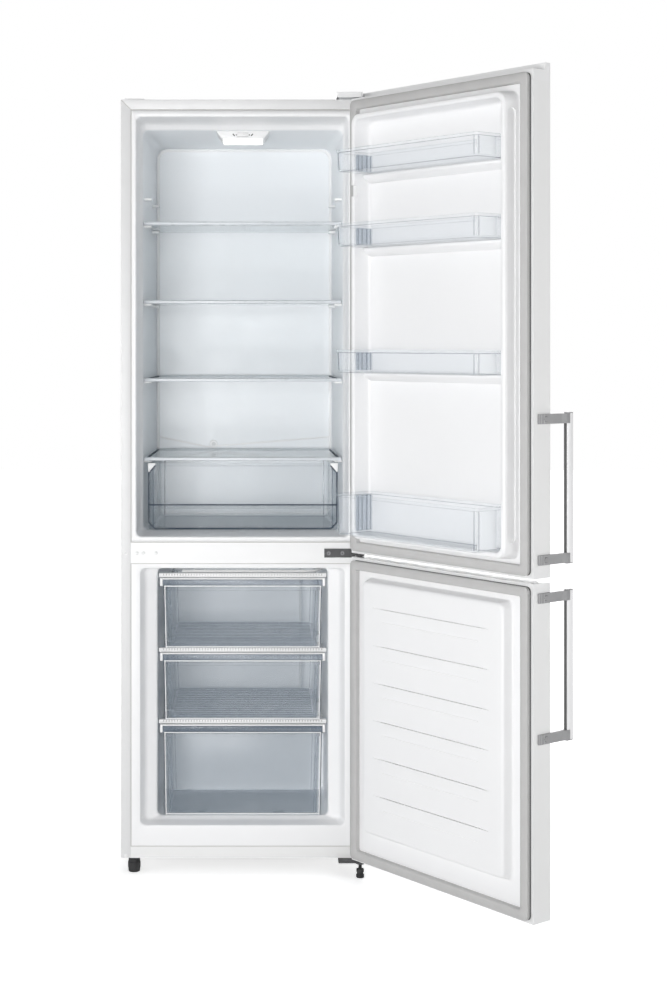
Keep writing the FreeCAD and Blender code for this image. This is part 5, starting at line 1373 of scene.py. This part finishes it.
def seen_directly(tree):
    """1 for rays that show the background: camera, mirror and see-through rays."""
    path = tree.nodes.new("ShaderNodeLightPath")
    total = path.outputs["Is Camera Ray"]
    for name in ("Is Glossy Ray", "Is Transmission Ray"):
        add = tree.nodes.new("ShaderNodeMath")
        add.operation = "MAXIMUM"
        tree.links.new(total, add.inputs[0])
        tree.links.new(path.outputs[name], add.inputs[1])
        total = add.outputs[0]
    return total


def make_world():
    """White where it is seen, and a soft cool light otherwise."""
    world = bpy.data.worlds.new("studio")
    world.use_nodes = True
    tree = world.node_tree
    shown = tree.nodes["Background"]
    shown.inputs["Strength"].default_value = 1.0
    shown.inputs["Color"].default_value = WHITE
    light = tree.nodes.new("ShaderNodeBackground")
    light.inputs["Color"].default_value = SKY_COLOUR
    light.inputs["Strength"].default_value = SKY_LIGHT
    mix = tree.nodes.new("ShaderNodeMixShader")
    tree.links.new(seen_directly(tree), mix.inputs["Fac"])
    tree.links.new(light.outputs["Background"], mix.inputs[1])
    tree.links.new(shown.outputs["Background"], mix.inputs[2])
    tree.links.new(mix.outputs["Shader"], tree.nodes["World Output"].inputs["Surface"])
    bpy.context.scene.world = world


def make_floor():
    """Pale floor that turns white away from the object and keeps its shadow."""
    bm = bmesh.new()
    bmesh.ops.create_grid(bm, x_segments=1, y_segments=1, size=FLOOR_SIZE)
    mesh = bpy.data.meshes.new("floor")
    bm.to_mesh(mesh)
    bm.free()
    material, tree, shader = shader_of("floor", FLOOR_COLOUR, FLOOR_ROUGHNESS)
    shader.inputs["Emission Color"].default_value = WHITE
    place = tree.nodes.new("ShaderNodeTexCoord")
    distance = tree.nodes.new("ShaderNodeVectorMath")
    distance.operation = "LENGTH"
    boost = tree.nodes.new("ShaderNodeMath")
    boost.operation = "MULTIPLY"
    tree.links.new(place.outputs["Object"], distance.inputs[0])
    tree.links.new(seen_directly(tree), boost.inputs[0])
    map_range(tree, distance.outputs["Value"], FLOOR_FADE, FLOOR_GLOW, boost.inputs[1])
    tree.links.new(boost.outputs[0], shader.inputs["Emission Strength"])
    mesh.materials.append(material)
    floor = bpy.data.objects.new("floor", mesh)
    bpy.context.scene.collection.objects.link(floor)


def make_lights():
    for name, place, size, power in LIGHTS:
        light = bpy.data.lights.new(name, "AREA")
        light.shape = "RECTANGLE"
        light.size, light.size_y = size
        light.energy = power
        holder = bpy.data.objects.new(name, light)
        holder.location = TO_ROW @ Vector(place)
        holder.rotation_euler = (Vector(LIGHT_AIM) - Vector(place)).to_track_quat("-Z", "Y").to_euler()
        bpy.context.scene.collection.objects.link(holder)


def main():
    dress_nodes()
    make_wrap()
    make_fridge_liner()
    make_liner_ribs()
    make_drain()
    make_freezer_liner()
    make_cooler_bars()
    make_fridge_door_liner()
    make_ledges()
    make_freezer_door_liner()
    for door in DOORS:
        make_gasket(door)
    for name in BALCONIES:
        make_balcony(name)
    make_crisper()
    for name in DRAWERS:
        make_drawer(name)
    for name in SHELVES:
        make_shelf_trim(name)
    make_control_housing()
    make_dial()
    make_scale()
    make_lamp()
    for door in DOORS:
        make_handle_bar(door)
        make_brackets(door)
    make_feet()
    make_screws()
    make_plugs()
    make_camera()
    make_world()
    make_floor()
    make_lights()
    bpy.context.scene.view_settings.view_transform = "Standard"


main()
